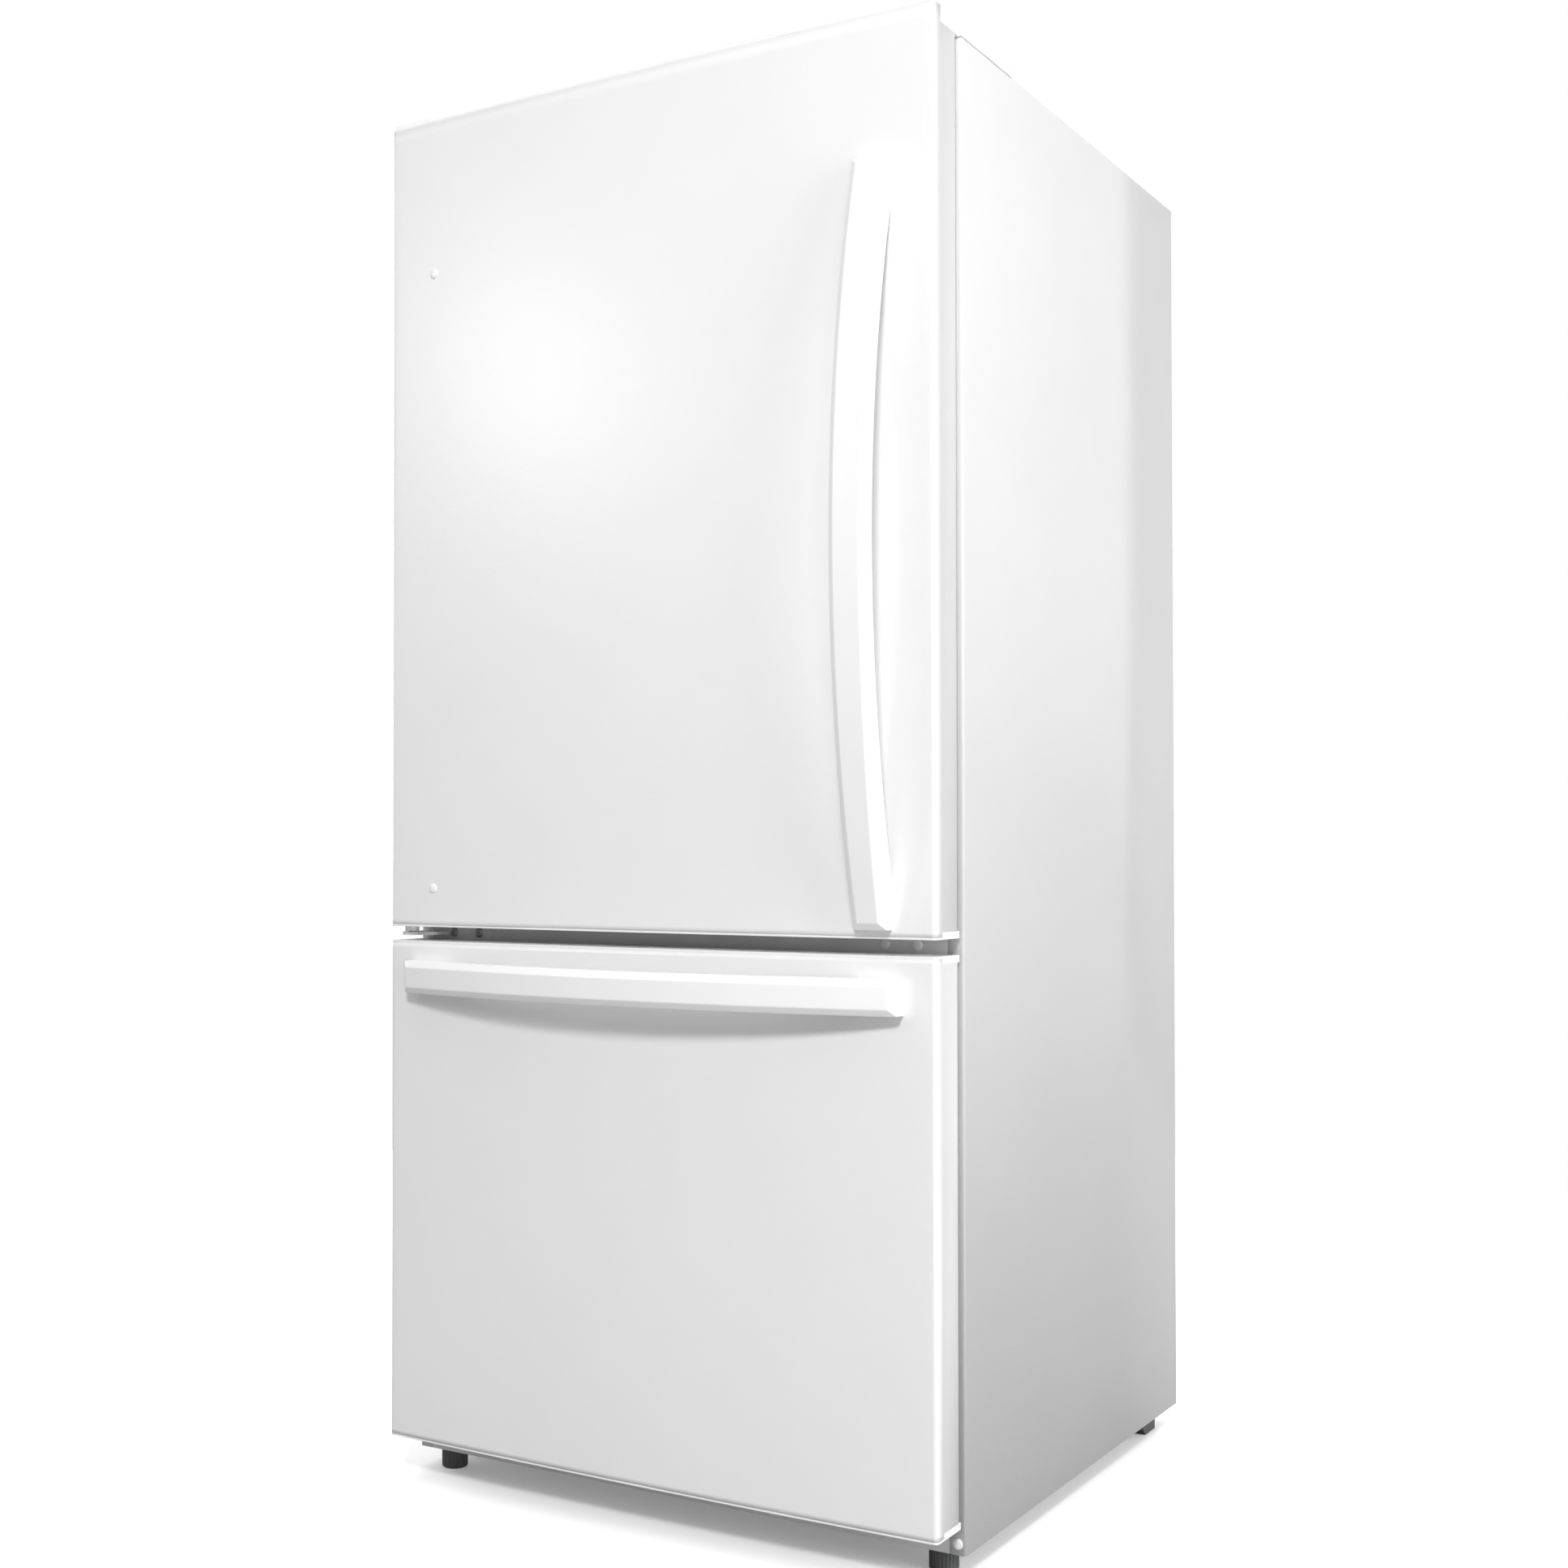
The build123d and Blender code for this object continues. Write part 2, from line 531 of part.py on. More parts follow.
# ---- hinges and top cover ---------------------------------------------------------------
def hinge_plate(z, back):
    """Flat plate with a round end about the hinge axis, reaching back to the cabinet."""
    end = Pos(HINGE_X, HINGE_Y, z) * Cylinder(
        HINGE_END_RADIUS, HINGE_PLATE, align=(Align.CENTER, Align.CENTER, Align.MIN))
    arm = block(HINGE_X - HINGE_END_RADIUS, HINGE_X + HINGE_REACH_X, HINGE_Y, back,
                z, z + HINGE_PLATE)
    corner = arm.edges().filter_by(Axis.Z).sort_by(Axis.Y)[:2].sort_by(Axis.X)[-1]
    return end + fillet(corner, HINGE_END_RADIUS)


def top_hinge():
    """Upper hinge: a cranked plate on the cabinet's top, with its pin pointing down."""
    left = HINGE_X - HINGE_END_RADIUS
    right = HINGE_X + HINGE_REACH_X
    upper = hinge_plate(TOP_PLATE_BOTTOM, HINGE_PLATE)
    riser = block(left, right, 0, HINGE_PLATE, CABINET_TOP, TOP_PLATE_BOTTOM + HINGE_PLATE)
    foot = block(left, right, 0, HINGE_FOOT_DEPTH, CABINET_TOP, CABINET_TOP + HINGE_PLATE)
    pin = rod(PIN_RADIUS, (HINGE_X, HINGE_Y, TOP_PLATE_BOTTOM + HINGE_PLATE),
              (HINGE_X, HINGE_Y, DOOR_TOP - CAP_STEP - PIN_ENGAGEMENT + CAP_LIP))
    return upper + riser + foot + pin


def middle_hinge():
    """Hinge between door and drawer: an angle screwed to the rail, with its pin pointing up."""
    bottom = MIDDLE_PLATE_TOP - HINGE_PLATE
    plate = hinge_plate(bottom, 0)
    flange_left = HINGE_X + HINGE_END_RADIUS
    flange = block(flange_left, flange_left + MIDDLE_FLANGE_WIDTH, -MIDDLE_FLANGE_SHEET, 0,
                   GAP_MIDDLE - MIDDLE_FLANGE_HEIGHT / 2, GAP_MIDDLE + MIDDLE_FLANGE_HEIGHT / 2)
    pin = rod(PIN_RADIUS, (HINGE_X, HINGE_Y, bottom),
              (HINGE_X, HINGE_Y, DOOR_BOTTOM + PIN_ENGAGEMENT - CAP_LIP))
    body = plate + flange + pin
    for distance in MIDDLE_SCREW_INSETS:
        x = HINGE_X + distance
        body -= rod(SCREW_RADIUS, (x, -2 * MIDDLE_FLANGE_SHEET, GAP_MIDDLE),
                    (x, SHEET, GAP_MIDDLE))
    return body


def hinge_screws():
    """Two screws of the middle hinge; their shanks fill the holes they pass through."""
    screws = []
    for distance in MIDDLE_SCREW_INSETS:
        x = HINGE_X + distance
        head = rod(SCREW_HEAD_RADIUS, (x, -MIDDLE_FLANGE_SHEET - SCREW_HEAD_HEIGHT, GAP_MIDDLE),
                   (x, -MIDDLE_FLANGE_SHEET, GAP_MIDDLE))
        head = chamfer(head.edges().sort_by(Axis.Y)[0], SCREW_HEAD_HEIGHT / 3)
        shank = rod(SCREW_RADIUS, (x, -MIDDLE_FLANGE_SHEET, GAP_MIDDLE),
                    (x, RAIL_SHEET, GAP_MIDDLE))
        screws.append(head + shank)
    for back in (HINGE_FOOT_DEPTH / 3, HINGE_FOOT_DEPTH * 2 / 3):
        x = HINGE_X + HINGE_REACH_X / 3
        top = CABINET_TOP + HINGE_PLATE
        screws.append(rod(SCREW_HEAD_RADIUS, (x, back, top), (x, back, top + SCREW_HEAD_HEIGHT)))
    return solids(*screws)


def cover_form(inset):
    """Outside of the top cover, or its hollow when inset by the wall."""
    low = CABINET_TOP - inset
    strip = block(-HALF_WIDTH + inset, HALF_WIDTH - inset, inset, COVER_DEPTH - inset,
                  low, CABINET_TOP + COVER_HEIGHT - inset)
    left = -HALF_WIDTH + inset
    right = HINGE_X + HINGE_REACH_X + 2 * COVER_WALL - inset
    hood_top = DOOR_TOP + HOOD_HEIGHT - inset
    hood = block(left, right, inset, HOOD_BACK - inset, low, hood_top)
    nose = block(left, right, HINGE_Y - HINGE_END_RADIUS - 2 * COVER_WALL + inset, 2 * inset,
                 DOOR_TOP + HOOD_GAP - inset, hood_top)
    return strip + hood + nose


def top_cover():
    """Moulded cover over the cabinet's front top edge, with a hood over the hinge."""
    riser_slot = block(HINGE_X - HINGE_END_RADIUS - JOINT_LINE,
                       HINGE_X + HINGE_REACH_X + JOINT_LINE, -SHEET, COVER_WALL + SHEET,
                       CABINET_TOP - SHEET, TOP_PLATE_BOTTOM + HINGE_PLATE + JOINT_LINE)
    return cover_form(0) - cover_form(COVER_WALL) - riser_slot


# ---- machine compartment ----------------------------------------------------------------
def fan(radius, hub_length):
    """A moulded fan about the Z axis, standing on the XY plane."""
    base = (Align.CENTER, Align.CENTER, Align.MIN)
    wheel = Cylinder(FAN_HUB_RADIUS, hub_length, align=base)
    span = radius - FAN_HUB_RADIUS / 2
    chord = hub_length * BLADE_SHARE / sin(radians(BLADE_PITCH_ANGLE))
    for index in range(FAN_BLADES):
        vane = Box(span, chord, BLADE_SHEET, align=(Align.MIN, Align.CENTER, Align.CENTER))
        place = Location((0, 0, hub_length / 2), (0, 0, index * 360 / FAN_BLADES))
        wheel += place * Pos(FAN_HUB_RADIUS / 2, 0, 0) * Rot(BLADE_PITCH_ANGLE, 0, 0) * vane
    rim = Cylinder(radius, hub_length, align=base)
    wheel = wheel & rim
    return wheel - Cylinder(FAN_SHAFT_RADIUS + SHAFT_CLEARANCE, 3 * hub_length)


def condenser_fan_blade():
    """Fan that draws air through the condenser; its axis runs across the machine space."""
    start = SHROUD_X + SHROUD_SHEET + MOTOR_GAP / 2
    plane = Plane(origin=(start, MACHINE_MIDDLE, FAN_Z), z_dir=(1, 0, 0))
    return plane * fan(CONDENSER_FAN_RADIUS, FAN_HUB_LENGTH)


def condenser_fan_motor():
    """Fan shroud with its motor on three arms, and the motor's shaft."""
    margin = MOTOR_GAP / 2
    shroud = block(SHROUD_X, SHROUD_X + SHROUD_SHEET, MACHINE_FRONT + SHEET + margin,
                   PANEL_FRONT - COVER_SHEET - margin, BASE_TOP, MACHINE_CEILING - margin)
    hole = CONDENSER_FAN_RADIUS + FAN_CLEARANCE
    shroud -= rod(hole, (SHROUD_X - SHEET, MACHINE_MIDDLE, FAN_Z),
                  (SHROUD_X + 2 * SHROUD_SHEET, MACHINE_MIDDLE, FAN_Z))
    motor_x = SHROUD_X + SHROUD_SHEET + margin + FAN_HUB_LENGTH + MOTOR_GAP
    motor = rod(CONDENSER_MOTOR_RADIUS, (motor_x, MACHINE_MIDDLE, FAN_Z),
                (motor_x + CONDENSER_MOTOR_LENGTH, MACHINE_MIDDLE, FAN_Z))
    shaft = rod(FAN_SHAFT_RADIUS, (motor_x - FAN_HUB_LENGTH - margin, MACHINE_MIDDLE, FAN_Z),
                (motor_x, MACHINE_MIDDLE, FAN_Z))
    body = shroud + motor + shaft
    arm = SHROUD_SHEET * 2
    reach = hole + 2 * arm
    for turn in MOTOR_ARM_ANGLES:
        across = Location((0, MACHINE_MIDDLE, FAN_Z), (turn, 0, 0))
        spoke = block(motor_x, motor_x + arm, CONDENSER_MOTOR_RADIUS - arm, reach, -arm, arm)
        post = block(SHROUD_X + SHROUD_SHEET, motor_x + arm, hole + FAN_CLEARANCE, reach, -arm, arm)
        body += across * (spoke + post)
    return body


def coil_span(x0, x1, y0, y1, z0, rows, columns, height, fins):
    """Tube-and-fin block: flat fins along straight tubes that run from x0 to x1."""
    fin = block(x0 - FIN_SHEET / 2, x0 + FIN_SHEET / 2, y0, y1, z0, z0 + height)
    body = fin
    for index in range(1, fins):
        body += Pos((x1 - x0) * index / (fins - 1), 0, 0) * fin
    for row in range(rows):
        for column in range(columns):
            z = z0 + height * (row + 0.5) / rows
            y = y0 + (y1 - y0) * (column + 0.5) / columns
            body += rod(COIL_TUBE_RADIUS, (x0 - 2 * FIN_SHEET, y, z), (x1 + 2 * FIN_SHEET, y, z))
    return body


def condenser():
    """Condenser block over the drain pan, beside the fan."""
    side = 2 * SIDE_WALL / 3
    return coil_span(-HALF_WIDTH + 2 * side, SHROUD_X - side, MACHINE_FRONT + side,
                     CABINET_DEPTH - side, BASE_TOP + PAN_HEIGHT + MOTOR_GAP, COIL_ROWS,
                     COIL_COLUMNS, COIL_HEIGHT, COIL_FINS)


def drain_pan():
    """Open tray that catches the defrost water under the condenser."""
    side = SIDE_WALL / 3
    outer = block(-HALF_WIDTH + side, SHROUD_X - side, MACHINE_FRONT + side,
                  CABINET_DEPTH - side, BASE_TOP, BASE_TOP + PAN_HEIGHT)
    inner = block(-HALF_WIDTH + side + PAN_WALL, SHROUD_X - side - PAN_WALL,
                  MACHINE_FRONT + side + PAN_WALL, CABINET_DEPTH - side - PAN_WALL,
                  BASE_TOP + PAN_WALL, BASE_TOP + 2 * PAN_HEIGHT)
    return outer - inner


def compressor():
    """Sealed compressor shell on its foot plate."""
    foot_z = BASE_TOP + GROMMET_HEIGHT
    half = COMPRESSOR_FOOT_SIZE / 2
    foot = block(COMPRESSOR_X - half, COMPRESSOR_X + half, MACHINE_MIDDLE - half,
                 MACHINE_MIDDLE + half, foot_z, foot_z + COMPRESSOR_FOOT_SHEET)
    shell = rod(COMPRESSOR_RADIUS, (COMPRESSOR_X, MACHINE_MIDDLE, foot_z + COMPRESSOR_FOOT_SHEET),
                (COMPRESSOR_X, MACHINE_MIDDLE, foot_z + COMPRESSOR_HEIGHT))
    shell = fillet(shell.edges().sort_by(Axis.Z)[-1], COMPRESSOR_CROWN_RADIUS)
    return foot + shell


def compressor_grommets():
    """Four rubber mounts between the compressor's foot plate and the base."""
    offset = COMPRESSOR_FOOT_SIZE / 2 - GROMMET_RADIUS
    mounts = []
    for dx in (-offset, offset):
        for dy in (-offset, offset):
            x = COMPRESSOR_X + dx
            y = MACHINE_MIDDLE + dy
            mounts.append(rod(GROMMET_RADIUS, (x, y, BASE_TOP), (x, y, BASE_TOP + GROMMET_HEIGHT)))
    return solids(*mounts)


def refrigerant_lines():
    """Suction tube up into the wall, and the drier with its tube beside the compressor."""
    foot_z = BASE_TOP + GROMMET_HEIGHT
    out = COMPRESSOR_X + COMPRESSOR_RADIUS
    clear = out + 2 * LINE_BEND
    low = foot_z + COMPRESSOR_HEIGHT / 2
    path = FilletPolyline((out, MACHINE_MIDDLE, low), (clear, MACHINE_MIDDLE, low),
                          (clear, MACHINE_MIDDLE, MACHINE_CEILING), radius=LINE_BEND)
    suction = sweep(Plane(origin=path @ 0, z_dir=path % 0) * Circle(LINE_RADIUS), path)
    drier_y = MACHINE_FRONT + SIDE_WALL
    drier_x = HALF_WIDTH - SIDE_WALL
    drier_low = BASE_TOP + PAN_HEIGHT
    drier = rod(DRIER_RADIUS, (drier_x, drier_y, drier_low),
                (drier_x, drier_y, drier_low + DRIER_LENGTH))
    tail = rod(LINE_RADIUS, (drier_x, drier_y, drier_low + DRIER_LENGTH),
               (drier_x, drier_y, MACHINE_CEILING))
    foot = rod(LINE_RADIUS, (drier_x, drier_y, BASE_TOP), (drier_x, drier_y, drier_low))
    return solids(suction, drier + tail + foot)


def machine_cover():
    """Louvred rear cover of the machine compartment."""
    half = HALF_WIDTH - SHEET - COVER_MARGIN
    cover = block(-half, half, CABINET_DEPTH - COVER_SHEET, CABINET_DEPTH,
                  FLOOR_GAP + COVER_MARGIN, MACHINE_CEILING - COVER_MARGIN)
    column_pitch = 2 * half / LOUVRE_COLUMNS
    first = FAN_Z - LOUVRE_PITCH * (LOUVRE_ROWS - 1) / 2
    for column in range(LOUVRE_COLUMNS):
        x = -half + column_pitch * (column + 0.5)
        for row in range(LOUVRE_ROWS):
            z = first + row * LOUVRE_PITCH
            cover -= block(x - LOUVRE_LENGTH / 2, x + LOUVRE_LENGTH / 2,
                           CABINET_DEPTH - 2 * COVER_SHEET, CABINET_DEPTH + COVER_SHEET,
                           z - LOUVRE_HEIGHT / 2, z + LOUVRE_HEIGHT / 2)
    return cover - inlet_hole()


def inlet_hole():
    """Opening of the rear cover for the mains inlet."""
    z = FLOOR_GAP + INLET_HEIGHT
    return block(INLET_X - INLET_WIDTH / 2, INLET_X + INLET_WIDTH / 2,
                 CABINET_DEPTH - 2 * COVER_SHEET, CABINET_DEPTH + COVER_SHEET,
                 z - INLET_HEIGHT / 2, z + INLET_HEIGHT / 2)


def mains_inlet():
    """Recessed inlet for the detachable mains lead, with three contact pins."""
    z = FLOOR_GAP + INLET_HEIGHT
    half = INLET_WIDTH / 2 - JOINT_LINE
    tall = INLET_HEIGHT / 2 - JOINT_LINE
    front = CABINET_DEPTH - SIDE_WALL / 3
    shell = block(INLET_X - half, INLET_X + half, front, CABINET_DEPTH, z - tall, z + tall)
    shell -= block(INLET_X - half + PAN_WALL, INLET_X + half - PAN_WALL, front + PAN_WALL,
                   CABINET_DEPTH + SHEET, z - tall + PAN_WALL, z + tall - PAN_WALL)
    for dx, dz in ((-half / 2, -tall / 4), (0, tall / 4), (half / 2, -tall / 4)):
        shell += block(INLET_X + dx - SHEET, INLET_X + dx + SHEET, front + SHEET,
                       CABINET_DEPTH - PAN_WALL, z + dz - 2 * SHEET, z + dz + 2 * SHEET)
    return shell


# ---- freezer's cooling parts ------------------------------------------------------------
def evaporator():
    """Finned evaporator behind the freezer's rear panel, with its defrost heater below it."""
    half = EVAPORATOR_WIDTH / 2
    depth = EVAPORATOR_DEPTH / 2
    coil = coil_span(-half, half, EVAPORATOR_Y - depth, EVAPORATOR_Y + depth, EVAPORATOR_BOTTOM,
                     EVAPORATOR_ROWS, EVAPORATOR_COLUMNS, EVAPORATOR_HEIGHT, EVAPORATOR_FINS)
    return solids(coil, defrost_heater())


def defrost_heater():
    """Straight heater tube under the evaporator."""
    half = EVAPORATOR_WIDTH / 2
    z = STEP_TOP + 2 * HEATER_RADIUS
    tube = rod(HEATER_RADIUS, (-half, EVAPORATOR_Y, z), (half, EVAPORATOR_Y, z))
    for x in (-half, half - HEATER_RADIUS):
        tube += block(x, x + HEATER_RADIUS, EVAPORATOR_Y - HEATER_RADIUS,
                      EVAPORATOR_Y + HEATER_RADIUS, STEP_TOP, z)
    return tube


def evaporator_fan_motor():
    """Motor of the freezer fan, held to the liner's back by its plate, shaft to the front."""
    plate_y = LINER_BACK - FREEZER_PLATE_SHEET
    front = plate_y - FREEZER_MOTOR_LENGTH
    motor = rod(FREEZER_MOTOR_RADIUS, (0, front, FREEZER_FAN_Z), (0, plate_y, FREEZER_FAN_Z))
    half = FREEZER_PLATE_HALF
    plate = block(-half, half, plate_y, LINER_BACK, FREEZER_FAN_Z - half, FREEZER_FAN_Z + half)
    tip = front - MOTOR_GAP / 2 - FREEZER_HUB_LENGTH
    shaft = rod(FAN_SHAFT_RADIUS, (0, tip, FREEZER_FAN_Z), (0, front, FREEZER_FAN_Z))
    return motor + plate + shaft


def evaporator_fan_blade():
    """Freezer fan on the motor's shaft, behind the panel's grille."""
    front = LINER_BACK - FREEZER_PLATE_SHEET - FREEZER_MOTOR_LENGTH
    start = front - MOTOR_GAP / 2 - FREEZER_HUB_LENGTH
    plane = Plane(origin=(0, start, FREEZER_FAN_Z), z_dir=(0, 1, 0))
    return plane * fan(FREEZER_FAN_RADIUS, FREEZER_HUB_LENGTH)


def freezer_back_panel():
    """Panel over the evaporator, with a round fan grille and return slots low down."""
    side = LINER_HALF - JOINT_LINE
    panel = block(-side, side, BAFFLE_FRONT, BAFFLE_FRONT + BAFFLE_SHEET,
                  STEP_TOP + JOINT_LINE, FREEZER_CEILING - JOINT_LINE)
    pitch = 2 * FREEZER_FAN_RADIUS / (BAFFLE_VENTS + 1)
    vent = pitch * VENT_SHARE
    for index in range(BAFFLE_VENTS):
        offset = (index - (BAFFLE_VENTS - 1) / 2) * pitch
        half = sqrt(FREEZER_FAN_RADIUS ** 2 - offset ** 2) - MOTOR_GAP
        z = FREEZER_FAN_Z + offset
        panel -= block(-half, half, BAFFLE_FRONT - SHEET, BAFFLE_FRONT + 2 * BAFFLE_SHEET,
                       z - vent / 2, z + vent / 2)
    slot_half = side / RETURN_SLOTS / 2
    for index in range(RETURN_SLOTS):
        x = (index - (RETURN_SLOTS - 1) / 2) * 2 * side * RETURN_SHARE / RETURN_SLOTS
        panel -= block(x - slot_half, x + slot_half, BAFFLE_FRONT - SHEET,
                       BAFFLE_FRONT + 2 * BAFFLE_SHEET, STEP_TOP + 2 * vent, STEP_TOP + 3 * vent)
    return panel


# ---- fresh food compartment -------------------------------------------------------------
def air_tower():
    """Hollow air duct up the middle of the rear wall, with a vent at each level."""
    half = TOWER_WIDTH / 2
    low = CRISPER_GLASS_TOP
    high = FOOD_CEILING - HOUSING_HEIGHT
    front = LINER_BACK - TOWER_DEPTH
    duct = block(-half, half, front, LINER_BACK, low, high)
    duct -= block(-half + TOWER_WALL, half - TOWER_WALL, front + TOWER_WALL, LINER_BACK + SHEET,
                  low + TOWER_WALL, high - TOWER_WALL)
    pitch = (high - low) / (TOWER_VENTS + 1)
    for index in range(TOWER_VENTS):
        z = low + pitch * (index + 1)
        for side in (-1, 1):
            x = side * half / 2
            duct -= block(x - half / 3, x + half / 3, front - SHEET, front + 2 * TOWER_WALL,
                          z - SHELF_GAP, z)
    return duct


def shelf_ladders():
    """Two slotted steel tracks on the rear wall, which carry the shelf arms."""
    low = CRISPER_GLASS_TOP + SHELF_GAP
    high = FOOD_CEILING - HOUSING_HEIGHT
    tracks = []
    pitch = (high - low) / (LADDER_SLOTS + 1)
    for x in (-LADDER_X, LADDER_X):
        track = block(x - LADDER_WIDTH / 2, x + LADDER_WIDTH / 2, LINER_BACK - LADDER_SHEET,
                      LINER_BACK, low, high)
        for index in range(LADDER_SLOTS):
            z = low + pitch * (index + 1)
            for side in (-1, 1):
                slot_x = x + side * LADDER_WIDTH / 4
                track -= block(slot_x - SHEET, slot_x + SHEET, LINER_BACK - 2 * LADDER_SHEET,
                               LINER_BACK - LADDER_SHEET / 2, z - SHELF_GAP, z + SHELF_GAP)
        tracks.append(track)
    return solids(*tracks)


def shelf_places():
    """Left, right and floor level of each shelf: one full width, then two halves."""
    wide = LINER_HALF - SHELF_GAP
    lower, upper_left, upper_right = SHELF_LIFTS
    return [
        (-wide, wide, FOOD_FLOOR + lower),
        (-wide, -SHELF_GAP / 2, FOOD_FLOOR + upper_left),
        (SHELF_GAP / 2, wide, FOOD_FLOOR + upper_right),
    ]


def shelf_frame(left, right, level):
    """Moulded rim round one pane, on two steel arms hooked to the ladders."""
    rim = block(left, right, SHELF_FRONT, SHELF_BACK, level, level + SHELF_FRAME_HEIGHT)
    rim -= block(left + SHELF_RIM, right - SHELF_RIM, SHELF_FRONT + SHELF_RIM,
                 SHELF_BACK - SHELF_RIM, level - SHEET, level + 2 * SHELF_FRAME_HEIGHT)
    rim -= pane(left, right, level)
    for x in (-LADDER_X, LADDER_X):
        if left < x < right:
            rim += block(x - ARM_SHEET / 2, x + ARM_SHEET / 2, SHELF_FRONT + SHELF_RIM / 2,
                         LINER_BACK - LADDER_SHEET, level - ARM_HEIGHT / 2, level + GLASS)
            rim += block(x - ARM_SHEET / 2, x + ARM_SHEET / 2, SHELF_BACK - SHEET,
                         LINER_BACK - LADDER_SHEET, level - ARM_HEIGHT, level + GLASS)
    return rim


def pane(left, right, level):
    """Glass of one shelf, let into its rim."""
    edge = SHELF_RIM / 2
    top = level + SHELF_FRAME_HEIGHT - SHEET
    return block(left + edge, right - edge, SHELF_FRONT + edge, SHELF_BACK - edge,
                 top - GLASS, top)


def shelf_frames():
    """All shelf rims with their arms."""
    return solids(*[shelf_frame(*place) for place in shelf_places()])


def shelf_glass():
    """The shelves' glass panes."""
    return solids(*[pane(*place) for place in shelf_places()])


def crisper_cover():
    """Glass over the two crispers."""
    side = LINER_HALF - SHELF_GAP
    return block(-side, side, CRISPER_FRONT + SHELF_GAP, LINER_BACK - TOWER_DEPTH - SHELF_GAP,
                 CRISPER_GLASS_TOP - GLASS, CRISPER_GLASS_TOP)


def crisper_frame():
    """Frame that holds the crisper glass and carries the runners both crispers hang in."""
    top = CRISPER_GLASS_TOP - GLASS
    back = LINER_BACK - TOWER_DEPTH - SHELF_GAP
    side = LINER_HALF - JOINT_LINE
    low = CRISPER_TOP - CRISPER_RIM_HEIGHT - SLIDE_GAP - RUNNER_HEIGHT
    front = CRISPER_FRONT + SHELF_GAP
    body = block(-side, side, front, front + SHELF_RIM, top - RUNNER_HEIGHT, top)
    body += block(-side, side, back - SHELF_RIM, back, top - RUNNER_HEIGHT, top)
    body += block(-DIVIDER / 2, DIVIDER / 2, front, back, FOOD_FLOOR, top)
    cheek = CRISPER_DOOR_CLEARANCE - CRISPER_SIDE_GAP
    filler = block(side - cheek, side, front, back, low, top)
    runner = block(side - cheek - CRISPER_RIM, side, front, back, low, low + RUNNER_HEIGHT)
    body += filler + runner + mirrored(filler) + mirrored(runner)
    half = DIVIDER / 2 + CRISPER_RIM
    return body + block(-half, half, front, back, low, low + RUNNER_HEIGHT)


def crisper(side):
    """One crisper: an open bin with a rim that hangs in the runners and a finger scoop."""
    inner, outer = CRISPER_INNER, CRISPER_OUTER
    back = CRISPER_FRONT + CRISPER_DEPTH
    tub = block(inner, outer, CRISPER_FRONT, back, CRISPER_BOTTOM, CRISPER_TOP)
    rim = block(inner - CRISPER_RIM, outer + CRISPER_RIM, CRISPER_FRONT + 3 * SHELF_RIM, back,
                CRISPER_TOP - CRISPER_RIM_HEIGHT, CRISPER_TOP)
    face = block(inner - CRISPER_RIM, outer + CRISPER_RIM, CRISPER_FRONT - 2 * CRISPER_WALL,
                 CRISPER_FRONT, CRISPER_BOTTOM, CRISPER_TOP)
    hollow = block(inner + CRISPER_WALL, outer - CRISPER_WALL, CRISPER_FRONT + CRISPER_WALL,
                   back - CRISPER_WALL, CRISPER_BOTTOM + CRISPER_WALL, CRISPER_TOP + SHEET)
    middle = (inner + outer) / 2
    grip = block(middle - CRISPER_GRIP_HALF, middle + CRISPER_GRIP_HALF,
                 CRISPER_FRONT - 3 * CRISPER_WALL, CRISPER_FRONT + 2 * CRISPER_WALL,
                 CRISPER_TOP - CRISPER_GRIP_DROP, CRISPER_TOP + SHEET)
    body = tub + rim + face - hollow - grip
    return body if side > 0 else mirrored(body)


def control_housing():
    """Moulded housing on the compartment's ceiling for the thermostat and the lamp."""
    half = HOUSING_WIDTH / 2
    back = HOUSING_FRONT + HOUSING_DEPTH
    shell = block(-half, half, HOUSING_FRONT, back, HOUSING_BOTTOM, FOOD_CEILING)
    shell -= block(-half + HOUSING_WALL, half - HOUSING_WALL, HOUSING_FRONT + HOUSING_WALL,
                   back - HOUSING_WALL, HOUSING_BOTTOM + HOUSING_WALL, FOOD_CEILING + SHEET)
    lens_back = back - LENS_MARGIN / 2
    shell -= block(-half + LENS_MARGIN, half - LENS_MARGIN, lens_back - LENS_DEPTH, lens_back,
                   HOUSING_BOTTOM - SHEET, HOUSING_BOTTOM + 2 * HOUSING_WALL)
    shaft = rod(KNOB_SHAFT_RADIUS, (KNOB_X, HOUSING_FRONT - KNOB_HEIGHT / 2, KNOB_Z),
                (KNOB_X, HOUSING_FRONT + 2 * HOUSING_WALL, KNOB_Z))
    return shell + shaft


def light_lens():
    """Clear diffuser in the underside of the control housing."""
    half = HOUSING_WIDTH / 2 - LENS_MARGIN
    back = HOUSING_FRONT + HOUSING_DEPTH - LENS_MARGIN / 2
    shell = block(-half, half, back - LENS_DEPTH, back, HOUSING_BOTTOM - LENS_HEIGHT,
                  HOUSING_BOTTOM + HOUSING_WALL)
    lower = shell.faces().sort_by(Axis.Z)[0].edges()
    shell = fillet(lower, LENS_HEIGHT / 3)
    return shell - block(-half + HOUSING_WALL, half - HOUSING_WALL,
                         back - LENS_DEPTH + HOUSING_WALL, back - HOUSING_WALL,
                         HOUSING_BOTTOM - LENS_HEIGHT + HOUSING_WALL, HOUSING_BOTTOM + LENS_HEIGHT)


